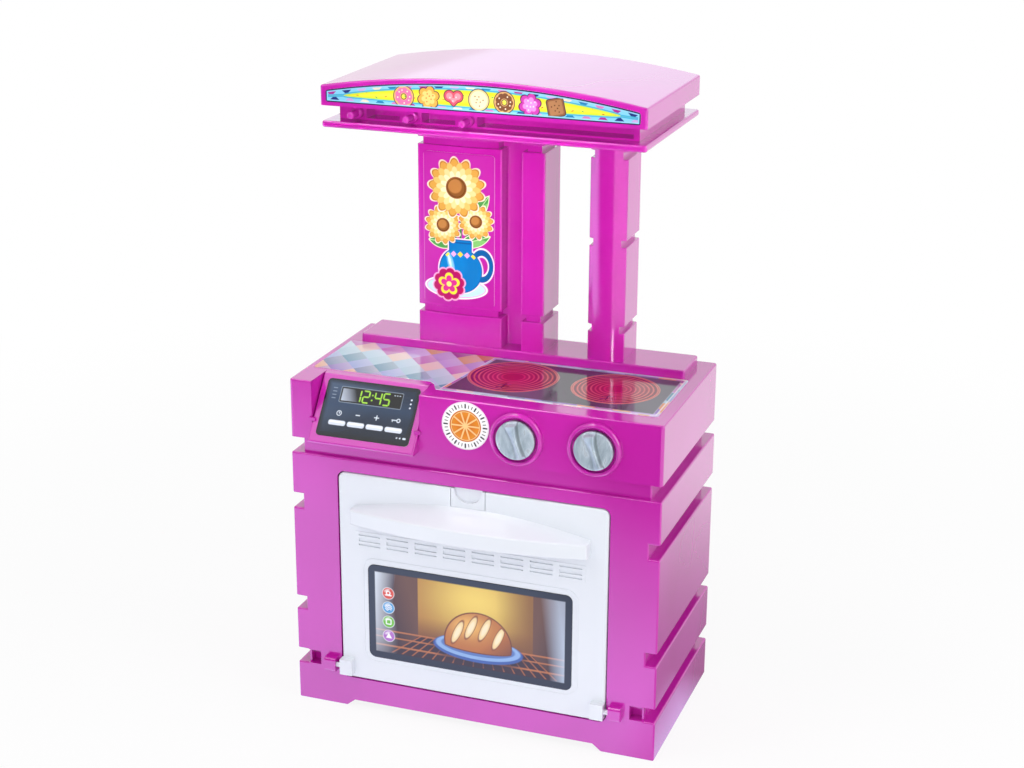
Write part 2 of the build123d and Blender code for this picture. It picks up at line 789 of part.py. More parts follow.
def column(name, plan, whole_part, grooves, foot_left, foot_width):
    """A hollow column of this plan, grooved at these levels but for the part that stays whole."""
    blocks = []
    hollows = []
    block_bottom = ledge_top
    hollow_bottom = ledge_top + wall
    for groove_level in grooves:
        groove_top = groove_level + groove_height
        blocks.append(column_block(plan, block_bottom, groove_level))
        hollows.append((hollow_bottom, groove_level - wall, wall))
        hollows.append((groove_level - wall, groove_top + wall, groove_depth + wall))
        block_bottom = groove_top
        hollow_bottom = groove_top + wall
    blocks.append(column_block(plan, block_bottom, tray_height))
    hollows.append((hollow_bottom, tray_height - wall, wall))
    spigot_place = (foot_left + foot_width / 2, spigot_middle)
    spigot_width = foot_width - 2 * column_spigot_inset
    with BuildPart() as tube:
        with BuildSketch(Plane.XY.offset(ledge_top)):
            offset(plan, amount=-groove_depth)
            add(whole_part)
        extrude(amount=tray_height - ledge_top)
        add(blocks)
        for low, high, inset in hollows:
            with BuildSketch(Plane.XY.offset(low)):
                offset(plan, amount=-inset)
            extrude(amount=high - low, mode=Mode.SUBTRACT)
        for level, way in ((ledge_top, -1), (tray_height, 1)):
            with BuildSketch(Plane.XY.offset(level)):
                with Locations(spigot_place):
                    Rectangle(spigot_width, spigot_length)
            extrude(amount=way * column_spigot_depth)
            with BuildSketch(Plane.XY.offset(level - way * wall)):
                with Locations(spigot_place):
                    Rectangle(spigot_width - 2 * column_spigot_wall, spigot_length - 2 * column_spigot_wall)
            extrude(amount=way * (column_spigot_depth + wall), mode=Mode.SUBTRACT)
    tube.part.label = name
    return tube


wide_panel_right = wide_column_left + wide_panel_width
post_left = wide_panel_right + web_width
wide_column_right = post_left + post_width
with BuildSketch() as wide_plan:
    with BuildLine():
        ThreePointArc(
            (wide_column_left, column_front + wide_panel_bow),
            (wide_column_left + wide_panel_width / 2, column_front),
            (wide_panel_right, column_front + wide_panel_bow),
        )
        Polyline(
            (wide_panel_right, column_front + wide_panel_bow),
            (wide_panel_right, web_front),
            (post_left, web_front),
            (post_left, post_front),
            (wide_column_right, post_front),
            (wide_column_right, column_back),
            (wide_column_left, column_back),
            (wide_column_left, column_front + wide_panel_bow),
        )
    make_face()
    fillet(wide_plan.vertices(), edge_round)
with BuildSketch() as whole_web:
    with Locations((wide_panel_right + web_width / 2, (web_front + column_back) / 2)):
        Rectangle(web_width + 2 * groove_depth, column_back - web_front)
column_wide = column("column_wide", wide_plan.sketch, whole_web.sketch, wide_grooves, *column_feet[0])

narrow_column_right = narrow_column_left + narrow_column_width
with BuildSketch() as narrow_plan:
    with BuildLine():
        ThreePointArc(
            (narrow_column_left, column_front + narrow_column_bow),
            (narrow_column_left + narrow_column_width / 2, column_front),
            (narrow_column_right, column_front + narrow_column_bow),
        )
        Polyline(
            (narrow_column_right, column_front + narrow_column_bow),
            (narrow_column_right, column_back),
            (narrow_column_left, column_back),
            (narrow_column_left, column_front + narrow_column_bow),
        )
    make_face()
    fillet(narrow_plan.vertices(), edge_round)
with BuildSketch() as whole_front:
    add(narrow_plan.sketch)
    with Locations((narrow_column_left + narrow_column_width / 2, column_front)):
        Rectangle(narrow_column_width - 2 * groove_depth, 2 * column_back, mode=Mode.INTERSECT)
column_narrow = column("column_narrow", narrow_plan.sketch, whole_front.sketch, narrow_grooves, *column_feet[1])

# Label on the wide column, bowed as its panel is
bow_radius = (wide_panel_width / 2) ** 2 / (2 * wide_panel_bow) + wide_panel_bow / 2
bow_centre = (wide_column_left + wide_panel_width / 2, column_front + bow_radius)
front_bearing = -90.0
bow_span = 2 * degrees(atan2(column_label_width / 2, bow_radius))
bow_start = front_bearing - bow_span / 2
label_radius = bow_radius + column_label_gap
with BuildPart() as column_label:
    with BuildSketch(Plane.XY.offset(column_label_bottom)):
        with BuildLine():
            near = CenterArc(bow_centre, label_radius, bow_start, bow_span)
            far = CenterArc(bow_centre, label_radius + label_thickness, bow_start, bow_span)
            Line(near @ 0, far @ 0)
            Line(near @ 1, far @ 1)
        make_face()
    extrude(amount=column_label_height)
    label_corners = column_label.edges().filter_by(lambda edge: edge.length < 2 * label_thickness)
    fillet(label_corners, column_label_corner)
column_label.part.label = "column_label"

# Hood tray: plate, recessed band with its pockets, and the deck that fills the hood's underside
band_back = tray_back - band_back_gap
band_middle = (band_front + band_back) / 2
tray_middle = (tray_front + tray_back) / 2
hood_middle = (hood_front + hood_back) / 2
peg_height = tray_top + peg_level
hood_screw_places = [
    (side * (hood_half_width - hood_screw_inset_side), place)
    for side in (-1, 1)
    for place in (hood_front + hood_screw_inset_front, hood_back - hood_screw_inset_back)
]
pocket_lefts = [peg_x + band_pocket_peg_gap for peg_x in peg_positions]
pocket_rights = [pocket_left + band_pocket_width for pocket_left in pocket_lefts]
pocket_rights[-1] = band_half_width - band_pocket_end_gap
with BuildPart() as hood_tray:
    with BuildSketch(Plane.XY.offset(tray_height)):
        with Locations((0, tray_middle)):
            RectangleRounded(2 * tray_half_width, tray_depth, corner_round)
    extrude(amount=tray_thickness)
    fillet(hood_tray.faces().sort_by(Axis.Z)[-1].edges(), tray_round)
    fillet(hood_tray.faces().sort_by(Axis.Z)[0].edges(), tray_round)
    with BuildSketch(Plane.XY.offset(tray_top)):
        with Locations((0, band_middle)):
            Rectangle(2 * band_half_width, band_back - band_front)
    extrude(amount=band_height)
    with BuildSketch(Plane.XY.offset(hood_bottom)):
        with Locations((0, hood_middle)):
            Rectangle(2 * (hood_half_width - wall - slip_gap), hood_depth - 2 * wall - 2 * slip_gap)
    extrude(amount=wall)
    with BuildSketch(Plane.XY.offset(tray_top)):
        with Locations((0, (band_front + band_front_depth + band_back - wall) / 2)):
            Rectangle(2 * (band_half_width - wall), band_back - wall - band_front - band_front_depth)
        with Locations(*hood_screw_places):
            Circle(hood_well_radius, mode=Mode.SUBTRACT)
    extrude(amount=band_height, mode=Mode.SUBTRACT)
    with BuildSketch(Plane.XZ.offset(-band_front)):
        for pocket_left, pocket_right in zip(pocket_lefts, pocket_rights):
            with Locations((
                (pocket_left + pocket_right) / 2,
                tray_top + band_pocket_bottom + band_pocket_height / 2,
            )):
                Rectangle(pocket_right - pocket_left, band_pocket_height)
    extrude(amount=-band_pocket_depth, mode=Mode.SUBTRACT)
    with BuildSketch(Plane.XZ.offset(-band_front)):
        with Locations(*[(peg_x, peg_height) for peg_x in peg_positions]):
            Circle(peg_stem_radius + shaft_clearance)
    extrude(amount=-peg_stem_length - slip_gap, mode=Mode.SUBTRACT)
    with BuildSketch(Plane.XY.offset(tray_height)):
        for socket_left, socket_width in column_feet:
            with Locations((socket_left + socket_width / 2, spigot_middle)):
                Rectangle(
                    socket_width - 2 * column_spigot_inset + 2 * slip_gap,
                    spigot_length + 2 * slip_gap,
                )
        with Locations(*hood_screw_places):
            Circle(hood_well_bore)
    extrude(amount=tray_thickness, mode=Mode.SUBTRACT)
    with BuildSketch(Plane.XY.offset(tray_top)):
        with Locations(*hood_screw_places):
            Circle(hood_well_bore)
    extrude(amount=band_height, mode=Mode.SUBTRACT)
    with BuildSketch(Plane.XY.offset(hood_bottom)):
        with Locations(*hood_screw_places):
            Circle(pilot_radius)
    extrude(amount=wall, mode=Mode.SUBTRACT)
hood_tray.part.label = "hood_tray"


def peg(name, peg_x):
    """A hanging peg: a stem in the band's bore, a wide shoulder and a round-ended pin."""
    with BuildPart() as pin:
        with BuildSketch(Plane.XZ.offset(-band_front)):
            with Locations((peg_x, peg_height)):
                Circle(peg_shoulder_radius)
        extrude(amount=peg_shoulder_length)
        fillet(pin.edges().group_by(Axis.Y)[0], knob_round)
        with BuildSketch(Plane.XZ.offset(-band_front)):
            with Locations((peg_x, peg_height)):
                Circle(peg_radius)
        extrude(amount=peg_length)
        fillet(pin.edges().group_by(Axis.Y)[0], peg_radius - knob_round)
        with BuildSketch(Plane.XZ.offset(-band_front)):
            with Locations((peg_x, peg_height)):
                Circle(peg_stem_radius)
        extrude(amount=-peg_stem_length)
    pin.part.label = name
    return pin


peg_names = ["peg_left", "peg_middle", "peg_right"]
pegs = [peg(name, peg_x) for name, peg_x in zip(peg_names, peg_positions)]


# Hood: a hollow box with an arched top, open below
def hood_outline(inset, drop):
    """The hood's front view, drawn in by inset at its sides and top and let down by drop at its bottom."""
    half = hood_half_width - inset
    shoulder = hood_bottom + hood_end_height - inset
    with BuildSketch() as outline:
        with BuildLine():
            ThreePointArc((-half, shoulder), (0, shoulder + hood_arch), (half, shoulder))
            Polyline(
                (half, shoulder),
                (half, hood_bottom - drop),
                (-half, hood_bottom - drop),
                (-half, shoulder),
            )
        make_face()
    return outline.sketch


with BuildPart() as hood_hollow:
    with BuildSketch(Plane.XZ.offset(-hood_front - wall)):
        add(hood_outline(wall, wall))
    extrude(amount=2 * wall - hood_depth)
    with BuildSketch(Plane.XY.offset(hood_bottom + wall)):
        with Locations(*hood_screw_places):
            Circle(hood_boss_radius)
    extrude(amount=hood_end_height + hood_arch, mode=Mode.SUBTRACT)

with BuildPart() as hood_shell:
    with BuildSketch(Plane.XZ.offset(-hood_front)):
        add(hood_outline(0, 0))
    extrude(amount=-hood_depth)
    fillet(hood_shell.edges().filter_by(
        lambda edge: edge.center().Z > hood_bottom + pick_margin), hood_round)
    add(hood_hollow.part, mode=Mode.SUBTRACT)
    with BuildSketch(Plane.XY.offset(hood_bottom)):
        with Locations(*hood_screw_places):
            Circle(pilot_radius)
    extrude(amount=wall + screw_length, mode=Mode.SUBTRACT)
hood_shell.part.label = "hood_shell"
hood_screws = screws(
    "hood_screws",
    [Plane(origin=(x, y, hood_bottom), x_dir=(1, 0, 0), z_dir=(0, 0, -1)) for x, y in hood_screw_places],
)

with BuildPart() as hood_label:
    label_half = hood_half_width - hood_label_side
    label_shoulder = hood_bottom + hood_end_height - hood_label_top
    with BuildSketch(Plane.XZ.offset(-hood_front)) as label_outline:
        with BuildLine():
            ThreePointArc(
                (-label_half, label_shoulder),
                (0, label_shoulder + hood_arch),
                (label_half, label_shoulder),
            )
            Polyline(
                (label_half, label_shoulder),
                (label_half, hood_bottom + hood_label_bottom),
                (-label_half, hood_bottom + hood_label_bottom),
                (-label_half, label_shoulder),
            )
        make_face()
        fillet(label_outline.vertices(), hood_round)
    extrude(amount=label_thickness)
hood_label.part.label = "hood_label"


# Oven door: a shallow tray with a hollow handle, vents, a window frame and its hinge blocks
def handle_section(x, inset):
    """Side view of the handle at x, drawn in by inset. Its reach and its top swell towards the middle."""
    swell = 1 - (x / handle_half_width) ** 2
    root = door_face + (door_skin / 2 if inset == 0 else 0)
    reach = handle_end_reach + handle_bow * swell
    crest = handle_bottom + handle_front_height + handle_arch * swell
    with BuildSketch(Plane.YZ.offset(x)) as section:
        with BuildLine():
            Polyline(
                (root, handle_bottom - inset),
                (front_y - reach + inset, handle_bottom - inset),
                (front_y - reach + inset, handle_bottom + handle_front_height - inset),
                (root, crest - inset),
                close=True,
            )
        make_face()
    return section.sketch


def handle_body(inset):
    """The handle, or with an inset its hollow, lofted along X."""
    half = handle_half_width - inset
    with BuildPart() as body:
        for station in range(handle_stations):
            add(handle_section(half * (2 * station / (handle_stations - 1) - 1), inset))
        loft()
        if inset == 0:
            fillet(body.faces().sort_by(Axis.Y)[0].edges(), handle_round)
    return body.part


latch_bottom = door_top - latch_height
latch_axis_z = latch_bottom + latch_axis_height
latch_axis_y = door_face + latch_thickness + latch_pin_radius
ear_middle = latch_width / 2 + latch_slit + latch_ear_thickness / 2
door_plane = Plane.XZ.offset(-door_face)
with BuildPart() as oven_door:
    with BuildSketch(Plane.XZ.offset(-front_y - door_depth)):
        with Locations((0, door_middle)):
            rounded_outline(2 * door_half_width, door_height, opening_radius - door_gap)
    extrude(amount=door_depth + door_proud)
    fillet(oven_door.faces().sort_by(Axis.Y)[0].edges(), door_edge_round)
    with BuildSketch(Plane.XZ.offset(-front_y - door_depth)):
        with Locations((0, door_middle)):
            rounded_outline(2 * door_half_width, door_height, opening_radius - door_gap, -door_skin)
    extrude(amount=door_depth + door_proud - door_skin, mode=Mode.SUBTRACT)
    add(handle_body(0))
    add(handle_body(handle_wall), mode=Mode.SUBTRACT)
    vent_row_width = vent_count * vent_pitch
    vent_middle = vent_bottom + vent_height / 2
    with BuildSketch(door_plane):
        with Locations((window_offset, vent_middle)):
            Rectangle(vent_row_width, vent_height + 2 * vent_border)
    extrude(amount=vent_border_height)
    with BuildSketch(door_plane.offset(vent_border_height)):
        with Locations((window_offset, vent_middle)):
            with GridLocations(vent_pitch, 0, vent_count, 1):
                Rectangle(vent_width, vent_height)
            with GridLocations(vent_pitch, vent_height / 2, vent_count, 2):
                Rectangle(vent_width, vent_bar_height, mode=Mode.SUBTRACT)
    extrude(amount=-vent_recess - vent_border_height, mode=Mode.SUBTRACT)
    with BuildSketch(door_plane):
        with Locations((window_offset, window_bottom + window_height / 2)):
            rounded_outline(window_width, window_height, window_radius, window_bead_gap + window_bead_width)
            rounded_outline(window_width, window_height, window_radius, window_bead_gap, Mode.SUBTRACT)
    extrude(amount=window_bead_height)
    with BuildSketch(door_plane):
        for side in (-1, 1):
            with Locations((side * (door_half_width - hinge_block_width / 2), hinge_axis_height)):
                Rectangle(hinge_block_width, hinge_block_height)
    extrude(amount=hinge_block_reach)
    for side in (-1, 1):
        with BuildSketch(Plane.YZ.offset(side * (door_half_width - hinge_block_width / 2))):
            with Locations((hinge_axis_y, hinge_axis_height)):
                Circle(hinge_pin_radius)
        extrude(amount=side * (hinge_block_width / 2 + hinge_pin_length))
    with BuildSketch(Plane.XZ.offset(-front_y - door_depth)):
        with Locations((latch_offset, door_top - (latch_height - latch_slit) / 2)):
            Rectangle(latch_width + 2 * latch_slit, latch_height + latch_slit)
    extrude(amount=door_depth + door_proud + slip_gap, mode=Mode.SUBTRACT)
    with BuildSketch(Plane.XZ.offset(-door_face - door_skin)):
        with Locations(
            (latch_offset + ear_middle, latch_axis_z),
            (latch_offset - ear_middle, latch_axis_z),
        ):
            Rectangle(latch_ear_thickness, latch_ear_depth)
    extrude(amount=-latch_ear_depth)
    with BuildSketch(Plane.YZ.offset(latch_offset - ear_middle - latch_ear_thickness)):
        with Locations((latch_axis_y, latch_axis_z)):
            Circle(latch_pin_radius + shaft_clearance)
    extrude(amount=2 * (ear_middle + latch_ear_thickness), mode=Mode.SUBTRACT)
oven_door.part.label = "oven_door"

# Latch: the thumb plate at the door's top edge, which tips on two pins
with BuildPart() as door_latch:
    latch_middle = door_top - (latch_height - latch_slit) / 2
    with BuildSketch(door_plane.offset(-latch_thickness)) as latch_outline:
        with Locations((latch_offset, latch_middle)):
            Rectangle(latch_width, latch_height - latch_slit)
        fillet(latch_outline.vertices().group_by(Axis.Y)[0], latch_corner)
    extrude(amount=latch_thickness)
    with BuildSketch(door_plane.offset(-thumb_depth - thumb_wall)):
        with Locations((latch_offset, door_top)):
            Circle(thumb_radius + thumb_wall)
        with Locations((latch_offset, door_top + thumb_radius)):
            Rectangle(2 * (thumb_radius + thumb_wall), 2 * thumb_radius, mode=Mode.SUBTRACT)
    extrude(amount=thumb_depth + thumb_wall)
    with BuildSketch(door_plane.offset(-thumb_depth)):
        with Locations((latch_offset, door_top)):
            Circle(thumb_radius)
    extrude(amount=thumb_depth, mode=Mode.SUBTRACT)
    with BuildSketch(door_plane.offset(-latch_thickness)):
        with Locations((latch_offset, latch_axis_z)):
            Rectangle(latch_width, 2 * latch_pin_radius)
    extrude(amount=-latch_pin_radius)
    with BuildSketch(Plane.YZ.offset(latch_offset - latch_width / 2 - latch_pin_length)):
        with Locations((latch_axis_y, latch_axis_z)):
            Circle(latch_pin_radius)
    extrude(amount=latch_width + 2 * latch_pin_length)
door_latch.part.label = "door_latch"

with BuildPart() as window_label:
    with BuildSketch(door_plane):
        with Locations((window_offset, window_bottom + window_height / 2)):
            RectangleRounded(window_width, window_height, window_radius)
    extrude(amount=label_thickness)
window_label.part.label = "window_label"

for piece in [
    cabinet_shell,
    oven_floor,
    back_panel,
    back_screws,
    console_base,
    console_screws,
    console_shell,
    display_panel,
    display_label,
    worktop_label,
    round_label,
    knob_left,
    knob_right,
    knob_clip_left,
    knob_clip_right,
    column_wide,
    column_label,
    column_narrow,
    hood_tray,
    *pegs,
    hood_shell,
    hood_screws,
    hood_label,
    oven_door,
    door_latch,
    window_label,
]:
    export_step(piece.part, f"parts/{piece.part.label}.step")
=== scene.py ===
# %% [markdown]
# A toy kitchen, dressed for a studio picture. The construction comes in as a fixed frame: every plastic
# moulding, knob and screw is there at its real size. What this file adds is how things look: the pearly
# magenta polypropylene, the white oven door, the silver-grey knobs and the printed vinyl films.
# +X is to the right of someone playing at the kitchen, +Y is to the back. Meshes are in metres, and
# sizes are written in millimetres, with mm as the factor between them.

# %% Frame
import json
import math

import bpy
import numpy as np
from mathutils import Euler, Matrix, Vector


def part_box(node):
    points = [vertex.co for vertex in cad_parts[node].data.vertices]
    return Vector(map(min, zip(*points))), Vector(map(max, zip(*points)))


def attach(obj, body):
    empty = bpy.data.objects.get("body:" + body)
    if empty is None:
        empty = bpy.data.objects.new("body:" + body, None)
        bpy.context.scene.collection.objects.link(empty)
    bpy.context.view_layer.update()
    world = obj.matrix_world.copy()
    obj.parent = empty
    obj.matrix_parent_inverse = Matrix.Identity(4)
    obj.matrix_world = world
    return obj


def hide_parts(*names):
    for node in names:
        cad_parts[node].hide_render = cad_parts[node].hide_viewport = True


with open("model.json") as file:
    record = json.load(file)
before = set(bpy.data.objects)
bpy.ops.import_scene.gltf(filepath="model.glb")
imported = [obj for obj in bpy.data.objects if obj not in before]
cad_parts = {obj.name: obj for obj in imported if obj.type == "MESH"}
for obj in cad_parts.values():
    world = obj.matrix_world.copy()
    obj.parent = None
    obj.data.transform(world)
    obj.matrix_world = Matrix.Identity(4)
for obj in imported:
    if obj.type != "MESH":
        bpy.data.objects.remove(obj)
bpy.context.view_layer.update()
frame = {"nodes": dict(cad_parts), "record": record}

mm = 0.001
print("pieces from the frame:", len(frame["nodes"]))

# %% [markdown]
# Colours are written as sRGB hex values, as one would pick them from a paint chart. The renderer mixes
# light, so it needs them linear: below 0.04045 a straight line, above it a power of 2.4.


# %% Colours and nodes
def linear(hex_colour):
    """The linear RGBA of an sRGB hex value: c / 12.92 for dark shades, ((c + 0.055) / 1.055) ** 2.4 above."""
    channels = np.array([int(hex_colour[place:place + 2], 16) for place in (1, 3, 5)]) / 255
    scaled = np.where(channels <= 0.04045, channels / 12.92, ((channels + 0.055) / 1.055) ** 2.4)
    return (*scaled.tolist(), 1.0)


def add_node(tree, kind, inputs=None, **settings):
    """One shader node with its settings. An input is a value, a socket, or a node for its first output."""
    made = tree.nodes.new("ShaderNode" + kind)
    for name, value in settings.items():
        setattr(made, name, value)
    for socket, value in (inputs or {}).items():
        value = value.outputs[0] if isinstance(value, bpy.types.Node) else value
        if isinstance(value, bpy.types.NodeSocket):
            tree.links.new(value, made.inputs[socket])
        else:
            made.inputs[socket].default_value = value
    return made


def new_material(name, **sockets):
    """A principled material whose constant values stand on the shader's own sockets."""
    made = bpy.data.materials.new(name)
    made.use_nodes = True
    shader = made.node_tree.nodes["Principled BSDF"]
    for socket, value in sockets.items():
        shader.inputs[socket.replace("_", " ")].default_value = value
    return made, made.node_tree, shader


def new_object(name, data):
    """An object at the origin, in the scene."""
    made = bpy.data.objects.new(name, data)
    bpy.context.scene.collection.objects.link(made)
    return made


print("white is", linear("#FFFFFF"))

# %% [markdown]
# The camera stands a little to the right of the kitchen and looks down on it, with a short telephoto lens.
# Its place and its turn were solved from the straight edges of the cabinet and the console.

# %% Camera
camera_place = (0.6002, -1.6385, 0.9344)
camera_turn = math.radians(19.844)
camera_tilt = math.radians(19.171)
camera_roll = math.radians(0.305)
camera = new_object("camera", bpy.data.cameras.new("camera"))
camera.data.sensor_width = 36.0
camera.data.lens = 67.43
aim = Euler((math.pi / 2 - camera_tilt, 0, camera_turn)).to_matrix().to_4x4()
camera.matrix_world = Matrix.Translation(camera_place) @ aim @ Matrix.Rotation(camera_roll, 4, "Z")
bpy.context.scene.camera = camera
print("camera", camera.data.lens, "mm")

# %% [markdown]
# A packshot studio is white behind and at the sides, and dark in front, where the photographer stands.
# Glossy plastic shows both: its tops and flanks mirror white, and its front keeps its deep colour. So the
# world is white to the camera, graded from dark to white for reflections, and a gentle fill for the rest.

# %% World
mirror_turn = (-0.55, 0.15)
mirror_strength = (0.08, 1.0)
fill_strength = 0.5
bpy.context.scene.view_settings.view_transform = "Standard"
world = bpy.data.worlds.new("studio")
world.use_nodes = True
bpy.context.scene.world = world
tree = world.node_tree
tree.nodes.clear()
path = add_node(tree, "LightPath")
heading = add_node(tree, "SeparateXYZ", {0: add_node(tree, "TexCoord").outputs["Generated"]})
mirrored = add_node(tree, "MapRange", {
    "Value": heading.outputs["Y"], "From Min": mirror_turn[0], "From Max": mirror_turn[1],
    "To Min": mirror_strength[0], "To Max": mirror_strength[1]}, interpolation_type="SMOOTHSTEP")
fill = add_node(tree, "Background", {"Color": (1, 1, 1, 1), "Strength": fill_strength})
sheen = add_node(tree, "Background", {"Color": (1, 1, 1, 1), "Strength": mirrored})
white_wall = add_node(tree, "Background", {"Color": (1, 1, 1, 1), "Strength": 1.0})
for_gloss = add_node(tree, "MixShader", {0: path.outputs["Is Glossy Ray"], 1: fill, 2: sheen})
for_glass = add_node(tree, "MixShader", {0: path.outputs["Is Transmission Ray"], 1: for_gloss, 2: white_wall})
for_camera = add_node(tree, "MixShader", {0: path.outputs["Is Camera Ray"], 1: for_glass, 2: white_wall})
add_node(tree, "OutputWorld", {"Surface": for_camera})
print("world", world.name)

# %% [markdown]
# The floor is a white paper sweep. The camera sees it as white, with a share of its real shading kept, and
# with it the kitchen's soft shadow; further out it is plain white, so that it meets the wall without an edge.
# Reflections see a bright, bluish paper in front, which ends in the dark studio floor, and behind and beside
# the kitchen a white one that is darker close to it, where its shade falls.

# %% Floor
floor_half = 6.0
shadow_reach = (0.35, 1.4)
least_glow = 0.88
paper_edge = Vector((0.55, -0.83, 0.0))
paper_fade = (0.22, 0.64)
front_glow_strength = (2.3, 0.03)
shade_reach = (0.2, 0.8)
back_glow_strength = (0.26, 1.0)
beside_kitchen = (0.14, 0.22)
behind_kitchen = (-0.1, 0.1)
floor_mesh = bpy.data.meshes.new("floor")
floor_mesh.from_pydata(
    [(x * floor_half, y * floor_half, 0) for x, y in ((-1, -1), (1, -1), (1, 1), (-1, 1))], [], [(0, 1, 2, 3)])
floor = new_object("floor", floor_mesh)

floor_material, tree, shader = new_material("matt_white_paper_sweep", Roughness=0.9, Specular_IOR_Level=0.0)
shader.inputs["Base Color"].default_value = linear("#F4F4F4")
path = add_node(tree, "LightPath")
place = add_node(tree, "TexCoord").outputs["Object"]
sides = add_node(tree, "SeparateXYZ", {0: place})
distance = add_node(tree, "VectorMath", {0: place}, operation="LENGTH").outputs["Value"]
past_edge = add_node(tree, "VectorMath", {0: place, 1: paper_edge}, operation="DOT_PRODUCT")
ramps = [
    add_node(tree, "MapRange", {
        "Value": value, "From Min": start, "From Max": end, "To Min": low, "To Max": high},
        interpolation_type=curve)
    for value, (start, end), (low, high), curve in (
        (distance, shadow_reach, (least_glow, 1.0), "SMOOTHSTEP"),
        (past_edge.outputs["Value"], paper_fade, front_glow_strength, "SMOOTHSTEP"),
        (distance, shade_reach, back_glow_strength, "SMOOTHSTEP"),
        (sides.outputs["X"], beside_kitchen, (0.0, 1.0), "LINEAR"),
        (sides.outputs["Y"], behind_kitchen, (0.0, 1.0), "LINEAR"))]
glow_share, front_strength, back_strength, beside, behind = ramps
away = add_node(tree, "Math", {0: behind, 1: beside}, operation="MAXIMUM")
seen_white = add_node(tree, "Emission", {"Color": (1, 1, 1, 1), "Strength": 1.0})
front_glow = add_node(tree, "Emission", {"Color": linear("#D2D6FF"), "Strength": front_strength})
back_glow = add_node(tree, "Emission", {"Color": (1, 1, 1, 1), "Strength": back_strength})
seen = add_node(tree, "MixShader", {0: glow_share, 1: shader, 2: seen_white})
mirrored = add_node(tree, "MixShader", {0: away, 1: front_glow, 2: back_glow})
for_gloss = add_node(tree, "MixShader", {0: path.outputs["Is Glossy Ray"], 1: shader, 2: mirrored})
for_camera = add_node(tree, "MixShader", {0: path.outputs["Is Camera Ray"], 1: for_gloss, 2: seen})
tree.links.new(for_camera.outputs[0], tree.nodes["Material Output"].inputs["Surface"])
floor_mesh.materials.append(floor_material)
print("studio floor", 2 * floor_half, "m")

# %% [markdown]
# Six soft boxes. One high in front on the left glazes the leaning display, and a low one fills the front. A
# small gridded one lifts the columns, one stands at the right, and a bright one overhead draws the highlights
# along the top edges. The wide one behind is what the hood's glossy top mirrors, as a pale lilac sheet. The
# low one is kept out of the reflections, because it would white out the tops in a view from behind.

# %% Soft boxes
def soft_box(name, place, size, power, aim=(0, 0, 0.3), spread=180, shade="#FFFFFF", mirrored=True):
    """A rectangular area lamp turned to its aim: size in metres, power in watts, spread in degrees."""
    lamp = bpy.data.lights.new(name, "AREA")
    lamp.shape = "RECTANGLE"
    lamp.size, lamp.size_y = size
    lamp.energy = power
    lamp.spread = math.radians(spread)
    lamp.color = linear(shade)[:3]
    made = new_object(name, lamp)
    toward = Vector(aim) - Vector(place)
    made.matrix_world = Matrix.Translation(place) @ toward.to_track_quat("-Z", "Y").to_matrix().to_4x4()
    made.visible_glossy = mirrored
    return made


soft_boxes = [
    soft_box("box_front", (-0.85, -1.35, 1.75), (1.1, 1.1), 5),
    soft_box("box_low", (0.45, -2.1, 0.9), (1.0, 0.8), 13.5, mirrored=False),
    soft_box("box_columns", (0.30, -1.5, 0.80), (0.2, 0.2), 0.20, (-0.02, 0.04, 0.50), 18),
    soft_box("box_side", (1.7, -0.2, 1.0), (1.2, 1.2), 14),
    soft_box("box_top", (-0.65, -0.4, 2.2), (0.7, 0.45), 9),
    soft_box("box_back", (-0.28, 0.72, 0.96), (1.3, 0.52), 0.9, (0, 0, 0.62), shade="#D4F4FF"),
]
print("soft boxes", len(soft_boxes))

# %% [markdown]
# Moulded plastic is never quite even: its pigment and its gloss drift with the flow in the mould, and its skin
# is a little wavy. One noise carries the shade and the roughness, and a second one, or the same, bends the
# normals.


# %% Finishes that drift
def drifting(name, noise, gloss, shades=(), stops=(0.0, 1.0), stretch=None, wave=None, bump=None, **sockets):
    """A material whose shade runs through the stops of a ramp, and its roughness from gloss[0] to gloss[1]."""
    made, tree, shader = new_material(name, **sockets)
    place = add_node(tree, "TexCoord").outputs["Object"]
    if stretch:
        place = add_node(tree, "Mapping", {"Vector": place, **stretch}).outputs[0]
    drift = add_node(tree, "TexNoise", {"Vector": place, **noise}).outputs["Fac"]
    rough = add_node(tree, "MapRange", {"Value": drift, "To Min": gloss[0], "To Max": gloss[1]})
    tree.links.new(rough.outputs[0], shader.inputs["Roughness"])
    colour = None
    if shades:
        tint = add_node(tree, "ValToRGB", {"Fac": drift})
        ramp, colour = tint.color_ramp.elements, tint.outputs["Color"]
        ramp[0].position, ramp[-1].position = stops[0], stops[-1]
        for stop in stops[1:-1]:
            ramp.new(stop)
        for element, shade in zip(ramp, shades):
            element.color = linear(shade)
        tree.links.new(colour, shader.inputs["Base Color"])
    if bump:
        height = add_node(tree, "TexNoise", {"Vector": place, **wave}).outputs["Fac"] if wave else drift
        bent = add_node(tree, "Bump", {"Height": height, "Strength": bump[0], "Distance": bump[1]})
        tree.links.new(bent.outputs[0], shader.inputs["Normal"])
    return made, tree, shader, colour


flow_scale = 1 / (110 * mm)
wave_scale = 1 / (32 * mm)
wavy = {"Scale": wave_scale, "Detail": 1.0}
print("flow marks", 1 / flow_scale, "m")

# %% [markdown]
# The mouldings are polypropylene with a pearl pigment, made glossy by a polished mould. The mica flakes
# raise the skin's reflectance above that of plain plastic, so the index is set higher, and they lie along
# the flow, so the colour drifts a little over tens of millimetres. The waviness is that of a thick moulding.

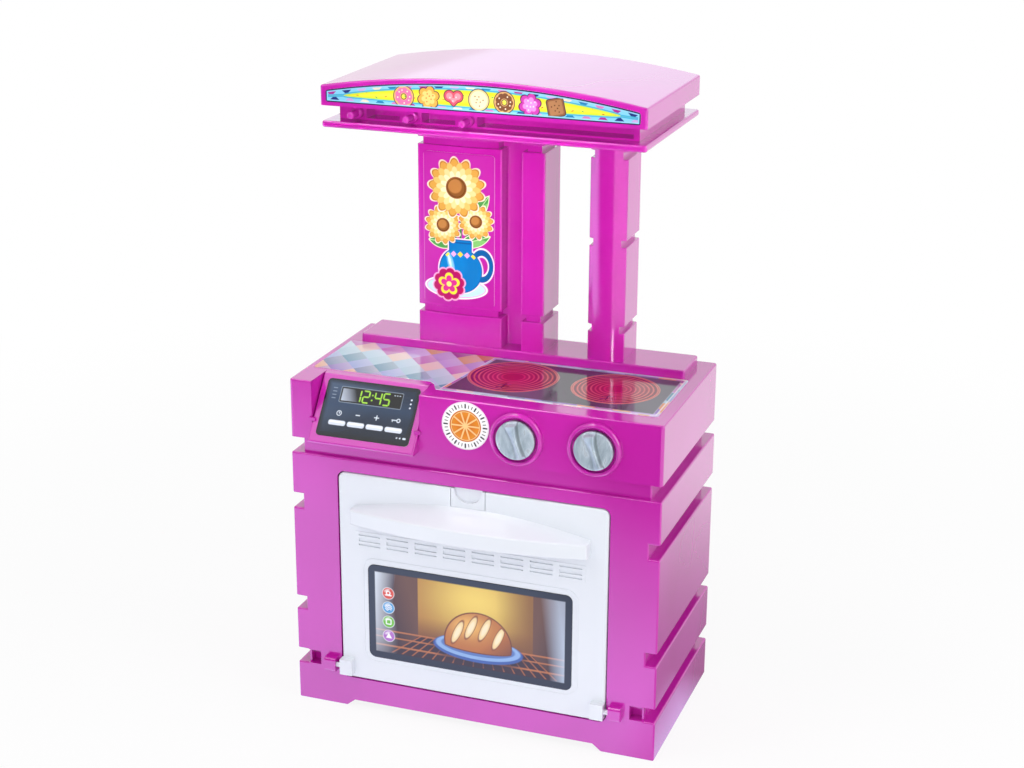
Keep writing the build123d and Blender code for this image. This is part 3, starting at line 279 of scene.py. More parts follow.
# %% Magenta polypropylene
magenta, tree, shader, _ = drifting(
    "pearl_magenta_polypropylene_moulded",
    {"Scale": flow_scale, "Detail": 2.0, "Roughness": 0.4, "Distortion": 0.3}, (0.10, 0.20),
    ("#BE17A0", "#C922AD"), (0.3, 0.7), wave=wavy, bump=(0.05, 0.0005),
    IOR=1.75, Coat_Weight=0.7, Coat_Roughness=0.07, Coat_IOR=1.5)
shader.inputs["Specular Tint"].default_value = linear("#F2ECFF")
tree.links.new(shader.inputs["Normal"].links[0].from_socket, shader.inputs["Coat Normal"])
print("material", magenta.name)

# %% [markdown]
# The oven door and its latch are high-impact polystyrene, pigmented a slightly blue white and moulded with
# a satin gloss. Such a surface is nearly even: only its sheen drifts a little.

# %% White polystyrene
white, *_ = drifting(
    "white_polystyrene_moulded", {"Scale": flow_scale, "Detail": 3.0}, (0.24, 0.36), ("#DFE4EC", "#E9EDF3"),
    wave=wavy, bump=(0.06, 0.0005), IOR=1.55, Coat_Weight=0.25, Coat_Roughness=0.12)
print("material", white.name)

# %% [markdown]
# The oven floor is a plain grey polypropylene sheet with an eroded, matt grain, about a millimetre across,
# that hides scratches. The grain itself is the bump.

# %% Grey polypropylene sheet
grey, *_ = drifting(
    "grey_polypropylene_grained", {"Scale": 1 / (1.2 * mm), "Detail": 2.0}, (0.5, 0.7), ("#80848B", "#989CA2"),
    bump=(0.4, 0.0002), IOR=1.49)
print("material", grey.name)

# %% [markdown]
# The knobs are ABS with a silver flake pigment. The flakes turn where the melt streams meet, which leaves
# marbled flow marks a few millimetres wide, light and slate, under a satin gloss. A painted highlight along
# the grip's crest and painted shade at its foot are kept in the ink attribute, which multiplies the marble.

# %% Silver-grey ABS
marble_scale = 1 / (34 * mm)
silver, tree, shader, marble = drifting(
    "silver_flake_abs_moulded", {"Scale": marble_scale, "Detail": 5.0, "Roughness": 0.6, "Distortion": 2.6},
    (0.36, 0.22), ("#9FB0BC", "#B4C4CE", "#C4D2DB", "#DEE8EF"), (0.30, 0.45, 0.56, 0.68),
    stretch={"Scale": (1.9, 1.0, 0.7), "Rotation": (0, 0.45, 0)}, bump=(0.10, 0.0003),
    IOR=1.55, Metallic=0.25, Coat_Weight=0.3, Coat_Roughness=0.15)
# The ink attribute holds the knob's painted highlight and painted shade, and multiplies the marbled colour.
ink = add_node(tree, "Attribute", attribute_name="ink")
marble_and_painted_light = add_node(tree, "Mix", {"Factor": 1.0, 6: marble, 7: ink.outputs["Color"]},
                  data_type="RGBA", blend_type="MULTIPLY")
tree.links.new(marble_and_painted_light.outputs[2], shader.inputs["Base Color"])
print("material", silver.name)

# %% [markdown]
# The self-tapping screws are zinc-plated carbon steel and the knob clips are bare spring steel. Both were
# tumbled or rolled, which leaves fine, uneven scratches: a stretched noise in the roughness shows them.

# %% Steels
steels = {}
for name, shade, gloss in (("zinc_plated_steel_tumbled", "#C4C6CC", (0.25, 0.45)),
                           ("spring_steel_rolled", "#A9ABB0", (0.2, 0.35))):
    steels[name], _, shader, _ = drifting(
        name, {"Scale": 1 / (1.5 * mm), "Detail": 3.0}, gloss, stretch={"Scale": (1.0, 1.0, 8.0)}, Metallic=1.0)
    shader.inputs["Base Color"].default_value = linear(shade)
print("materials", *steels)

# %% [markdown]
# The labels are printed vinyl under a clear gloss laminate. The ink lies on the film as one colour at every
# point, kept as an attribute, and the laminate gives it a wet, faintly wavy shine. The hob and the display
# have a smoother laminate than the other films.

# %% Printed vinyl
vinyls = []
for name, roughness in (("printed_vinyl_gloss_laminate", 0.16), ("printed_vinyl_mirror_laminate", 0.06)):
    made, tree, shader, _ = drifting(
        name, {"Scale": wave_scale, "Detail": 1.5}, (roughness, roughness + 0.08), bump=(0.08, 0.0004),
        IOR=1.47, Coat_Weight=0.2, Coat_Roughness=0.05)
    ink = add_node(tree, "Attribute", attribute_name="ink")
    tree.links.new(ink.outputs["Color"], shader.inputs["Base Color"])
    vinyls.append(made)
label_vinyl, glass_vinyl = vinyls
print("materials", label_vinyl.name, glass_vinyl.name)

# %% [markdown]
# Every piece of the frame gets the finish that its slot in the record names. The films are drawn anew below.

# %% Finishes on the frame's own pieces
finishes = {
    "magenta_plastic": magenta, "white_plastic": white, "grey_plastic": grey, "knob_plastic": silver,
    "screw_steel": steels["zinc_plated_steel_tumbled"], "clip_steel": steels["spring_steel_rolled"]}
for part in frame["record"]["subparts"]:
    body = frame["nodes"][part["node"]]
    body.data.materials.clear()
    body.data.materials.append(finishes.get(part["material_slot"], label_vinyl))
print("finished nodes", len(frame["nodes"]))

# %% [markdown]
# A picture is built from signed distances: each shape is a function that is negative inside and grows by a
# millimetre for each millimetre outside. Ink covers a point fully inside, not at all outside, and the edge
# between is one grid pitch wide, so it stays smooth. Shapes are laid over each other like screen prints.

# %% Shapes and ink
def held(share):
    """A share kept between 0 and 1."""
    return np.clip(share, 0, 1)


def bell(away, width):
    """A bell over its middle: exp(-(d / w)²)."""
    return np.exp(-(away / width) ** 2)


def disc(x, y, centre, radius):
    """The distance to a circle: the length of the way from its centre, less the radius."""
    return np.hypot(x - centre[0], y - centre[1]) - radius


def turned(x, y, centre, turn):
    """A point from a centre, in turned axes: x cos t + y sin t along the first, y cos t - x sin t beside it."""
    right, up = x - centre[0], y - centre[1]
    return right * math.cos(turn) + up * math.sin(turn), up * math.cos(turn) - right * math.sin(turn)


def oval(x, y, centre, radii, turn=0.0):
    """Nearly the distance to an ellipse: the scaled radius less one, times the smaller half axis."""
    along, aside = turned(x, y, centre, turn)
    return (np.hypot(along / radii[0], aside / radii[1]) - 1) * min(radii)


def slab(x, y, centre, size, radius=0.0, turn=0.0):
    """The distance to a rounded rectangle: how far outside its core, plus how deep inside, less the radius."""
    along, aside = [
        np.abs(way) - side / 2 + radius for way, side in zip(turned(x, y, centre, turn), size)]
    outside = np.hypot(np.maximum(along, 0), np.maximum(aside, 0))
    return outside + np.minimum(np.maximum(along, aside), 0) - radius


def stroke(x, y, start, end, radius):
    """The distance to a line with round ends: to the nearest point of the line, less the radius."""
    run = (end[0] - start[0], end[1] - start[1])
    share = held(((x - start[0]) * run[0] + (y - start[1]) * run[1]) / (run[0] ** 2 + run[1] ** 2))
    return np.hypot(x - start[0] - share * run[0], y - start[1] - share * run[1]) - radius


def blossom(x, y, centre, inner, outer, count, turn=0.0):
    """Nearly the distance to a ring of petals: the radius swings between inner and outer, count times round."""
    angle = np.arctan2(y - centre[1], x - centre[0]) - turn
    reach = inner + (outer - inner) * np.abs(np.cos(count * angle / 2)) ** 0.7
    return (np.hypot(x - centre[0], y - centre[1]) - reach) * 0.8


def corners(x, y, points):
    """The distance to a convex outline given clockwise: the farthest of the distances to its sides."""
    sides = []
    for start, end in zip(points, points[1:] + points[:1]):
        run = (end[0] - start[0], end[1] - start[1])
        sides.append(((y - start[1]) * run[0] - (x - start[0]) * run[1]) / math.hypot(*run))
    return np.max(sides, axis=0)


def open_sheet(x, ground, pitch):
    """A sheet of one colour under every point x, and the two ways to print on it, lay and blend."""
    sheet = np.broadcast_to(linear(ground)[:3], (*x.shape, 3)).copy()

    def blend(colour, amount):
        """Moves the ink towards a colour c, one hex value or linear ones, by an amount a: ink + (c - ink) a."""
        shade = linear(colour)[:3] if isinstance(colour, str) else colour
        sheet[:] += (shade - sheet) * held(amount)[..., None]

    def lay(colour, distance, strength=1.0, edge=pitch):
        """Lays ink where the distance d is below zero: 1/2 - d / edge, with an edge one pitch wide."""
        blend(colour, strength * held(0.5 - distance / edge))

    return sheet, lay, blend


print("shapes ready")

# %% [markdown]
# A film is one thin closed shell. Its front is a fine grid that carries the ink, bounded below and above by
# two curves over its width. The back is a strip of quads, and the rim closes it all round. Where the film
# lies, flat, leaning or bowed, is a function from its own width, height and thickness to the room.

# %% Film shells
film_thickness = 0.5


def inked_mesh(vertices, faces, colours, smooth_count):
    """A mesh whose first vertices carry the colours as the ink attribute, and whose first faces are smooth."""
    mesh = bpy.data.meshes.new("inked")
    mesh.from_pydata(vertices, [], faces)
    ink = np.ones((len(vertices), 4), dtype=np.float32)
    ink[:len(colours), :3] = colours
    mesh.attributes.new("ink", "FLOAT_COLOR", "POINT").data.foreach_set("color", ink.ravel())
    mesh.polygons.foreach_set("use_smooth", np.arange(len(mesh.polygons)) < smooth_count)
    mesh.update()
    return mesh


def film_shell(across, low, high, pitch, put, ground, ink):
    """A film between the curves low(x) and high(x): its points at height share t are low + t (high - low)."""
    rows = int(np.max(high - low) / pitch) + 2
    share = np.linspace(0, 1, rows)
    wide = np.repeat(across[:, None], rows, axis=1)
    tall = low[:, None] + (high - low)[:, None] * share
    front = put(wide, tall, film_thickness)
    behind = np.concatenate((put(across, low, 0.0), put(across, high, 0.0)))
    vertices = np.concatenate((front.reshape(-1, 3), behind)) * mm
    columns = len(across)
    index = np.arange(columns * rows).reshape(columns, rows)
    back_low = np.arange(columns) + columns * rows
    back_high = back_low + columns

    def strip(*corners):
        return np.stack(corners, axis=-1).reshape(-1, 4)

    quads = np.concatenate((
        strip(index[:-1, :-1], index[1:, :-1], index[1:, 1:], index[:-1, 1:]),
        strip(back_low[:-1], back_high[:-1], back_high[1:], back_low[1:]),
        strip(index[:-1, 0], back_low[:-1], back_low[1:], index[1:, 0]),
        strip(index[1:, -1], back_high[1:], back_high[:-1], index[:-1, -1]),
    )).tolist()
    quads.append([*index[0].tolist(), int(back_high[0]), int(back_low[0])])
    quads.append([*index[-1, ::-1].tolist(), int(back_low[-1]), int(back_high[-1])])
    sheet, lay, blend = open_sheet(wide, ground, pitch)
    ink(lay, blend, wide, tall)
    return inked_mesh(vertices, quads, sheet.reshape(-1, 3), (columns - 1) * (rows - 1))


def rounded_span(left, right, bottom, top, radius, pitch):
    """Columns over a rounded rectangle, with its edges there: r - sqrt(r² - (r - d)²) in, at d from a side."""
    bend = np.linspace(0.1, math.pi / 2, int(radius * math.pi / 2 / pitch) + 3)[:-1]
    corner = radius * (1 - np.cos(bend))
    middle = np.linspace(left + radius, right - radius, int((right - left - 2 * radius) / pitch) + 2)
    across = np.concatenate((left + corner, middle, (right - corner)[::-1]))
    from_side = np.minimum(np.minimum(across - left, right - across), radius)
    inset = radius - np.sqrt(np.maximum(radius ** 2 - (radius - from_side) ** 2, 0))
    return across, bottom + inset, top - inset


def stick(name, node, material, mesh, body="root"):
    """Puts a piece in the place of a node of the frame, on the body that carries it."""
    mesh.name = name
    mesh.materials.append(material)
    piece = new_object(name, mesh)
    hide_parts(node)
    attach(piece, body)
    print(name, len(mesh.polygons), "faces")


def upright(left, front, bottom):
    """Stands a film upright: its width is X from left, its height Z from bottom, its thickness to the front."""
    return lambda x, z, depth: np.stack((left + x, np.full_like(x, front - depth), bottom + z), axis=-1)


def box_mm(node):
    """The lowest and highest corner of a node of the frame, in millimetres."""
    low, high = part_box(node)
    return np.array(low) / mm, np.array(high) / mm


print("film", film_thickness, "mm thick")

# %% [markdown]
# Each knob is one turned shape, a dial with its shaft behind it, and its face carries a grip like a wave: it
# rises gently from the left, is highest at its right edge, and drops steeply there. Profile and relief are
# worked out on one polar grid, so that the whole knob is a single closed skin.

# %% Knobs
knob_radius = 18.8
knob_face_round = 1.4
knob_depth = 6.0
knob_grip = 6.4
knob_shaft = 3.5
grip_height = 5.8
grip_right = (5.38, -0.28, 0.0088)
grip_left = (-0.18, -0.448, -0.010)
knob_turns = 176
knob_rings = 48
# Level of the knob's colour away from its painted highlights and painted shade.
painted_light_ground = 0.91


def smooth_step(share):
    """0 below zero, 1 above one, and t² (3 - 2 t) between."""
    kept = held(share)
    return kept * kept * (3 - 2 * kept)


def grip_edges(right, up):
    """How far a point is to the right of the grip's right and left edge, which are parabolas a + b z + c z²."""
    return [right - edge[0] - edge[1] * up - edge[2] * up ** 2 for edge in (grip_right, grip_left)]


def grip_relief(right, up):
    """The grip's height: a gentle step at its left edge, times a steep one at its right, fading at the rim."""
    past_right, past_left = grip_edges(right, up)
    across = held(past_left / np.maximum(past_left - past_right, 1.0))
    crest = 0.78 + 0.22 * across - 0.13 * bell(past_right + 2.7, 0.6)
    rim = smooth_step((knob_radius - knob_face_round - np.hypot(right, up)) / 2.2)
    rise = smooth_step((past_left + 3.4) / 4.6) * smooth_step(-past_right / 1.7)
    return grip_height * crest * rise * rim


def painted_grip_light(right, up):
    """Painted light: 0.91, plus a bell of highlight on each crest line, less a bell of shade on the grip's
    foot.
    """
    past_right, past_left = grip_edges(right, up)
    # A painted highlight along the grip's crest lines, and painted shade at its foot and at the foot of its
    # rise.
    painted_highlights = bell(past_right + 1.9, 0.55) + 0.8 * bell(past_right - 0.9, 0.5)
    painted_shade = bell(past_right + 0.5, 0.8) + 0.45 * bell(past_left + 3.6, 1.3)
    return np.clip(painted_light_ground + 0.2 * painted_highlights - 0.5 * painted_shade, 0.2, 1.06)


def knob_mesh(centre, face, shaft_end):
    """A skin of rings: out over the face, round the rim, in over the back, and along the shaft to its end."""
    flat = np.linspace(0, knob_radius - knob_face_round, knob_rings)[1:]
    bend = np.linspace(0, math.pi / 2, 7)[1:]
    radii = np.concatenate((
        flat, knob_radius - knob_face_round * (1 - np.sin(bend)), [knob_radius, knob_shaft, knob_shaft]))
    lifts = np.concatenate((
        0 * flat, knob_face_round * (np.cos(bend) - 1), [-knob_depth, -knob_depth, face - shaft_end]))
    angle = np.linspace(0, 2 * math.pi, knob_turns, endpoint=False)
    right, up = radii[:, None] * np.cos(angle), radii[:, None] * np.sin(angle)
    out = lifts[:, None] + grip_relief(right, up) * (radii <= flat[-1])[:, None]
    grid = np.stack((centre[0] + right, face - out, centre[1] + up), axis=-1).reshape(-1, 3)
    top = (centre[0], face - float(grip_relief(np.zeros(1), np.zeros(1))[0]), centre[1])
    vertices = np.concatenate((grid, [top, (centre[0], shaft_end, centre[1])])) * mm
    index = np.arange(len(radii) * knob_turns).reshape(len(radii), knob_turns)
    turned = np.roll(index, -1, axis=1)
    quads = np.stack((index[:-1], index[1:], turned[1:], turned[:-1]), axis=-1).reshape(-1, 4).tolist()
    poles = np.full(knob_turns, len(grid))
    fans = np.concatenate((
        np.stack((poles, index[0], turned[0]), axis=-1), np.stack((poles + 1, turned[-1], index[-1]), axis=-1)))
    faces = quads + fans.tolist()
    # The knob's ink attribute carries this painted highlight and shade.
    return inked_mesh(vertices, faces, painted_grip_light(right, up).reshape(-1, 1), len(faces))


for side in ("left", "right"):
    name = "knob_" + side
    knob_low, knob_high = box_mm(name)
    knob_middle = ((knob_low[0] + knob_high[0]) / 2, (knob_low[2] + knob_high[2]) / 2)
    mesh = knob_mesh(knob_middle, knob_low[1] + knob_grip, knob_high[1])
    stick("turning_" + name, name, silver, mesh, name)

# %% [markdown]
# The hood's banner follows the arch of the hood: its top edge is a circular arc. It carries a yellow band
# between light-blue borders with a row of bunting, and a row of plain biscuits and sweets.

# %% Banner film
banner_pitch = 0.36
banner_arch = 13.8
banner_corner = 2.2
flag_pitch = 15.0
flag_shades = ("#A82A90", "#252F78", "#C39BD2", "#EAD2B4", "#2478A8", "#D070B0")
sprinkle_shades = ("#E0813A", "#C9352F", "#3E9B57")
sprinkle_places = np.arange(-118, 119, 9.3)
sweet_kinds = ("ring", "flower", "heart", "round", "ring", "flower", "square")
sweet_size = 9.4
sweet_pitch = 24.0
sweet_shades = (
    ("#E8B06A", "#E86FA6", "#FFF3C4"), ("#F2A64A", "#F9C878", "#B9622B"), ("#E4556A", "#F08C9C", "#FBD5DA"),
    ("#E2C48F", "#F2DDB4", "#7A4A2C"), ("#D9A66A", "#7A4B35", "#F4E6C8"), ("#C83FA8", "#E58AD0", "#FBE4F6"),
    ("#8A5A3C", "#A8754F", "#5C3722"))
banner_low, banner_high = box_mm("hood_label")
banner_half = (banner_high[0] - banner_low[0]) / 2
banner_across, banner_floor, _ = rounded_span(
    -banner_half, banner_half, banner_low[2], banner_high[2], banner_corner, banner_pitch)
arch_radius = (banner_half ** 2 + banner_arch ** 2) / (2 * banner_arch)


def arch_top(x):
    """The height of the banner's top edge: a circle through both ends that rises by the arch in the middle."""
    return banner_high[2] - arch_radius + np.sqrt(arch_radius ** 2 - x ** 2)


def sweet(lay, x, z, centre, kind, place):
    """One plain biscuit or sweet: an outline, a body, icing, and seven crumbs on a spiral."""
    size = sweet_size
    body, top, crumb = sweet_shades[place]
    around = disc(x, z, centre, 0)
    if kind == "ring":
        shape = np.maximum(around - size, size * 0.30 - around)
        icing = np.maximum(blossom(x, z, centre, size - 2.0, size - 1.0, 9), size * 0.36 - around)
    elif kind == "flower":
        shape = blossom(x, z, centre, size * 0.78, size * 1.08, 6, 0.3)
        icing = blossom(x, z, centre, size * 0.50, size * 0.74, 6, 0.3)
    elif kind == "heart":
        tail = slab(x, z, (centre[0], centre[1] + 0.4), (10.2, 10.2), 1.2, math.pi / 4)
        lobes = [disc(x, z, (centre[0] + way * 3.9, centre[1] + 2.2), 4.9) for way in (-1, 1)]
        shape = np.minimum(np.minimum(*lobes), np.maximum(tail, z - centre[1] - 2.6))
        icing = shape + 1.9
    elif kind == "round":
        shape, icing = around - size, around - size + 1.5
    else:
        shape, icing = (
            slab(x, z, centre, (side, side), bend, 0.22) for side, bend in ((15.4, 2.4), (12.6, 1.6)))
    for shade, distance in (("#3A2440", shape - 0.8), (body, shape), (top, icing)):
        lay(shade, distance)
    for turn in range(7):
        angle = turn * 2.4 + place
        away = 1.6 + 0.62 * turn if kind != "ring" else size * 0.62
        spot = (centre[0] + away * math.cos(angle), centre[1] + away * math.sin(angle))
        lay(crumb, np.maximum(disc(x, z, spot, 0.62), icing + 0.4))


def banner_ink(lay, blend, x, z):
    """The banner's picture over its width and height: bunting, the lens of the band, sprinkles and sweets."""
    low, high = banner_low[2], arch_top(x)
    middle, half = (low + high) / 2, (high - low) / 2
    for edge, way in ((high, -1), (low, 1)):
        for place, shade in enumerate(flag_shades):
            shift = (x + 149 + 6 * way) / flag_pitch - place
            from_middle = np.abs((shift + 3) % len(flag_shades) - 3) * flag_pitch
            into = (z - edge) * way
            lay(shade, np.maximum(from_middle * 0.8 + into * 0.9 - 5.8, -into))
    band = np.abs(z - middle) - half * 0.60 * np.sqrt(held(1 - (x / (banner_half - 18)) ** 2))
    lay("#3FA6CC", band - 1.3)
    lay("#B9D63E", band)
    lay("#E6DF2C", band + 0.9, edge=1.6)
    lay("#EFEA6A", band + half * 0.34, 0.5, 3.0)
    for place, centre in enumerate(sprinkle_places):
        lean = 0.5 * math.sin(2.4 * place)
        spot = (centre, float(middle[np.argmin(np.abs(x[:, 0] - centre)), 0]) + 2.4 * math.sin(1.9 * place))
        tip = (spot[0] + 1.5 * math.cos(lean), spot[1] + 1.5 * math.sin(lean))
        lay(sprinkle_shades[place % 3], np.maximum(stroke(x, z, spot, tip, 0.42), band + 0.6))
    level = float(np.max(middle)) - 0.6
    for place, kind in enumerate(sweet_kinds):
        away = place - 3
        sweet(lay, x, z, (sweet_pitch * away, level - 1.3 * abs(away) ** 1.2 * 0.35), kind, place)
    rim = np.minimum(np.minimum(z - low, high - z), banner_half - np.abs(x))
    lay("#8CCBE6", rim - 2.3)
    lay("#1D2148", rim - 1.2)


banner_roof = arch_top(banner_across) - (banner_floor - banner_low[2])
stick("banner_film", "hood_label", label_vinyl, film_shell(
    banner_across, banner_floor, banner_roof, banner_pitch, upright(0.0, banner_high[1], 0.0),
    "#7FC4E2", banner_ink))

# %% [markdown]
# The wide column's panel is bowed, and the film bends with it: its width runs along an arc about an upright
# axis behind the panel. It shows a blue jug with yellow flowers on the panel's own magenta.

# %% Column film
column_pitch = 0.42
column_corner = 4.0
panel_width = 87.0
panel_bow = 3.0
bow_radius = (panel_width / 2) ** 2 / (2 * panel_bow) + panel_bow / 2
column_low, column_high = box_mm("column_label")
bow_start = bow_radius + 0.1
bow_axis = ((column_low[0] + column_high[0]) / 2, column_low[1] + bow_start + film_thickness)
column_half = bow_start * math.asin((column_high[0] - column_low[0]) / 2 / (bow_start + film_thickness))
petal_count = 13
petal_rings = (
    ("#F4DFC8", 0.70, 1.0, 0.0, 0.7), ("#BE7F2C", 0.68, 0.98, 0.0, 0.0), ("#DBA245", 0.60, 0.93, 0.0, 0.0),
    ("#E9BF68", 0.48, 0.84, 0.24, 0.0), ("#F1D592", 0.40, 0.70, 0.02, 0.0), ("#F7E6B8", 0.30, 0.56, 0.25, 0.0))
stems = (((0, 62), (-17, 104)), ((2, 62), (4, 112)), ((4, 62), (20, 92)), ((-2, 62), (-22, 82)))
leaves = (((2, 62), (32, 72), 6.4), ((-2, 62), (-31, 64), 6.0), ((8, 78), (31, 112), 6.2))
flowers = (((-16, 80), 19.5, 0.5), ((18, 86), 18.0, 0.1), ((-2, 118), 30.0, 0.2))


def column_put(x, z, depth):
    """A point at arc length x and height z: on a circle about the bow's axis, its angle x over the radius."""
    angle, radius = x / bow_start, bow_start + depth
    return np.stack((
        bow_axis[0] + radius * np.sin(angle), bow_axis[1] - radius * np.cos(angle), column_low[2] + z), axis=-1)


def flower(lay, x, z, centre, size, turn):
    """A yellow flower: rings of petals that get shorter and lighter inwards, and a dark seed head."""
    for shade, inner, outer, shift, grow in petal_rings:
        ring = blossom(x, z, centre, size * inner, size * outer, petal_count, turn + shift)
        lay(shade, ring - grow)
        if shade == "#E9BF68":
            lay("#C98F3C", np.abs(ring) - 0.35, 0.6)
    lay("#8A5428", disc(x, z, centre, size * 0.36))
    lay("#B97A3C", disc(x, z, (centre[0] - size * 0.05, centre[1] + size * 0.06), size * 0.24), edge=1.6)
    lay("#5E3518", np.abs(disc(x, z, centre, size * 0.30)) - 0.5, 0.7)


def leaf(lay, x, z, root, tip, width):
    """A leaf: where two circles of radius (l² / 4 + w²) / 2 w through root and tip overlap, and a midrib."""
    length = math.dist(root, tip)
    radius = (length ** 2 / 4 + width ** 2) / (2 * width)
    along = ((tip[0] - root[0]) / length, (tip[1] - root[1]) / length)
    middle = ((root[0] + tip[0]) / 2, (root[1] + tip[1]) / 2)
    back = radius - width
    sides = [disc(x, z, (middle[0] - way * along[1] * back, middle[1] + way * along[0] * back), radius)
             for way in (-1, 1)]
    blade = np.maximum(*sides)
    lay("#F3F0D2", blade - 0.7)
    lay("#4C9A4A", blade)
    lay("#7CC069", np.maximum(blade, sides[0] + width * 0.9))
    lay("#CBE6A6", stroke(x, z, root, tip, 0.3))


def column_ink(lay, blend, x, z):
    """The jug of flowers over the film's width, measured from its middle, and its height."""
    blend("#C83CB2", 0.7 * np.exp(-((x + 6) ** 2 / 900 + (z - 96) ** 2 / 2600)))
    for shade, centre, radii in (("#FFFFFF", (-3, 18), (33, 11.5)), ("#F08BC8", (-3, 18), (31.4, 10.2)),
                                 ("#BFE3F4", (-3, 18), (30.4, 9.4)), ("#E6F5FB", (-6, 20), (22, 5.4))):
        lay(shade, oval(x, z, centre, radii))
    for root, tip in stems:
        lay("#3F8A46", stroke(x, z, root, tip, 1.1))
    for root, tip, width in leaves:
        leaf(lay, x, z, root, tip, width)
    jug = np.minimum(oval(x, z, (2, 36), (22.5, 23)), slab(x, z, (2, 58), (24, 18), 2.0))
    handle = np.abs(oval(x, z, (24, 42), (9.5, 13.5))) - 2.2
    spout = corners(x, z, [(-19, 66), (-15, 55), (-4, 60), (-9, 66)])
    outline = np.minimum(np.minimum(jug, handle), spout)
    lay("#FBE9F4", outline - 1.1)
    lay("#0E5A9C", outline)
    lay("#0A7CC4", np.minimum(jug, spout) + 1.2)
    lay("#0F6BB2", np.maximum(jug + 1.2, 16 - np.hypot(x + 8, z - 40)), 0.5, 6.0)
    lay("#7CC8F0", oval(x, z, (-8, 42), (3.0, 11), 0.25), edge=1.5)
    lay("#D4EEFB", oval(x, z, (-9.2, 45), (1.2, 6), 0.25), edge=1.0)
    lay("#155A98", np.maximum(np.abs(z - 63.6) - 0.8, jug))
    for place in range(5):
        gem = slab(x, z, (-12 + 7.0 * place, 51.5 + 0.6 * math.sin(place)), (4.2, 4.2), 0.3, math.pi / 4)
        lay(("#F4E03C", "#E9A6DE")[place % 2], np.maximum(gem, jug + 1.5))
    plaque = (-10, 21)
    scallop = blossom(x, z, plaque, 14.2, 16.4, 10, 0.2)
    lay("#F7A8D4", scallop - 1.2)
    lay("#B3125E", scallop)
    lay("#F2E23A", blossom(x, z, plaque, 5.6, 10.4, 5, 0.31) - 0.9)
    lay("#D8308C", blossom(x, z, plaque, 4.2, 8.8, 5, 0.31))
    lay("#F7EE7A", disc(x, z, plaque, 2.6))
    for centre, size, turn in flowers:
        flower(lay, x, z, centre, size, turn)
    lay("#E7A6DC", column_half - np.abs(x) - 0.4, 0.4)


stick("flower_film", "column_label", label_vinyl, film_shell(
    *rounded_span(-column_half, column_half, 0.0, column_high[2] - column_low[2], column_corner, column_pitch),
    column_pitch, column_put, "#B8209C", column_ink))

# %% [markdown]
# The worktop film is a hob and a tiled counter in one print: harlequin diamonds of 27 by 33 mm, a smoky glass
# field with two red burners drawn as concentric coils, and a narrow pastel border round the glass. Its front
# edge steps back beside the display.

# %% Worktop film
worktop_pitch = 0.66
worktop_corner = 3.0
worktop_step = (-56.1, -50.1, -42.9)
worktop_step_y = (-48.4, -53.5, -67.4)
burners = [(13.5, -8.9, 44.0), (115.0, -7.9, 42.0)]
coil_count = 8
diamond = (27.2, 32.8)
diamond_middle = (-125.7, -7.5)
glass_left = -40.0
glass_lean = 17.0
glass_border = 3.6
tile_shades = np.array([linear(shade)[:3] for shade in (
    "#A9CDDA", "#B9A0D8", "#66769F", "#E6CDBE", "#A8549E", "#5690A8", "#C3ACE0", "#8360B4", "#B4D4E2",
    "#DDB27A", "#8FA0D4", "#C27CBC", "#D98A55")])
worktop_low, worktop_high = box_mm("worktop_label")
worktop_across, worktop_floor, worktop_roof = rounded_span(
    worktop_low[0], worktop_high[0], worktop_low[1], worktop_high[1], worktop_corner, worktop_pitch)
worktop_floor = worktop_floor - worktop_low[1] + np.interp(worktop_across, worktop_step, worktop_step_y)


def worktop_ink(lay, blend, x, y):
    """Diamonds where x/w + y/d and x/w - y/d round to whole numbers, then the glass field and its burners."""
    along, aside = (x - diamond_middle[0]) / diamond[0], (y - diamond_middle[1]) / diamond[1]
    row, column = np.round(along + aside).astype(int), np.round(along - aside).astype(int)
    blend(tile_shades[(row * 3 + column * 5) % len(tile_shades)], 1.0)
    blend("#FFFFFF", 0.30 * held(along + aside - row + 0.5))
    start = glass_left + glass_lean * (y - worktop_low[1]) / (worktop_high[1] - worktop_low[1])
    field = np.max([
        start - x, x - worktop_high[0] + 2.2, worktop_low[1] + 2.0 - y, y - worktop_high[1] + 2.4], axis=0)
    patch = np.floor((x + 0.7 * y) / 17.0).astype(int) * 5 + np.floor(y / 30.0).astype(int)
    lay(tile_shades[patch % len(tile_shades)], field)
    lay("#FFFFFF", np.abs(field + 0.4) - 0.5, 0.7)
    glass = field + glass_border
    lay("#403E48", glass)
    blend("#6E6C7A", 0.5 * (glass < 0) * (0.5 + 0.5 * np.sin(0.045 * x + 0.02 * y + 1.2)))
    lay("#B9B6C6", np.abs(glass) - 0.35, 0.7)
    for centre_x, centre_y, radius in burners:
        away = np.hypot(x - centre_x, y - centre_y)
        lay("#5E1A34", away - radius)
        blend("#B00A3C", (away < radius) * held(1 - away / radius) ** 0.7)
        for coil in range(coil_count):
            middle = radius * (0.20 + 0.80 * (coil + 0.5) / coil_count)
            glow = coil / (coil_count - 1)
            lay(("#D22A56", "#DC4A64")[coil % 2], np.abs(away - middle) - 0.85, 1 - 0.5 * glow)
            lay("#EC8672", np.abs(away - middle) - 0.6, 0.75 * glow)
        lay("#E08A78", np.abs(away - radius + 0.4) - 0.45)
        mark = centre_y - radius * 0.62
        for start, end in (((-5.4, -5.2), (5.4, -1.2)), ((-5.4, 1.2), (5.4, 5.2)), ((0, -7), (0, 7))):
            lay("#5B1029", stroke(
                x, y, (centre_x + start[0], mark + start[1]), (centre_x + end[0], mark + end[1]), 0.7))


def worktop_put(x, y, depth):
    """The film lies flat: its width is X, its height is Y, and its thickness goes up."""
    return np.stack((x, y, np.full_like(x, worktop_low[2] + depth)), axis=-1)


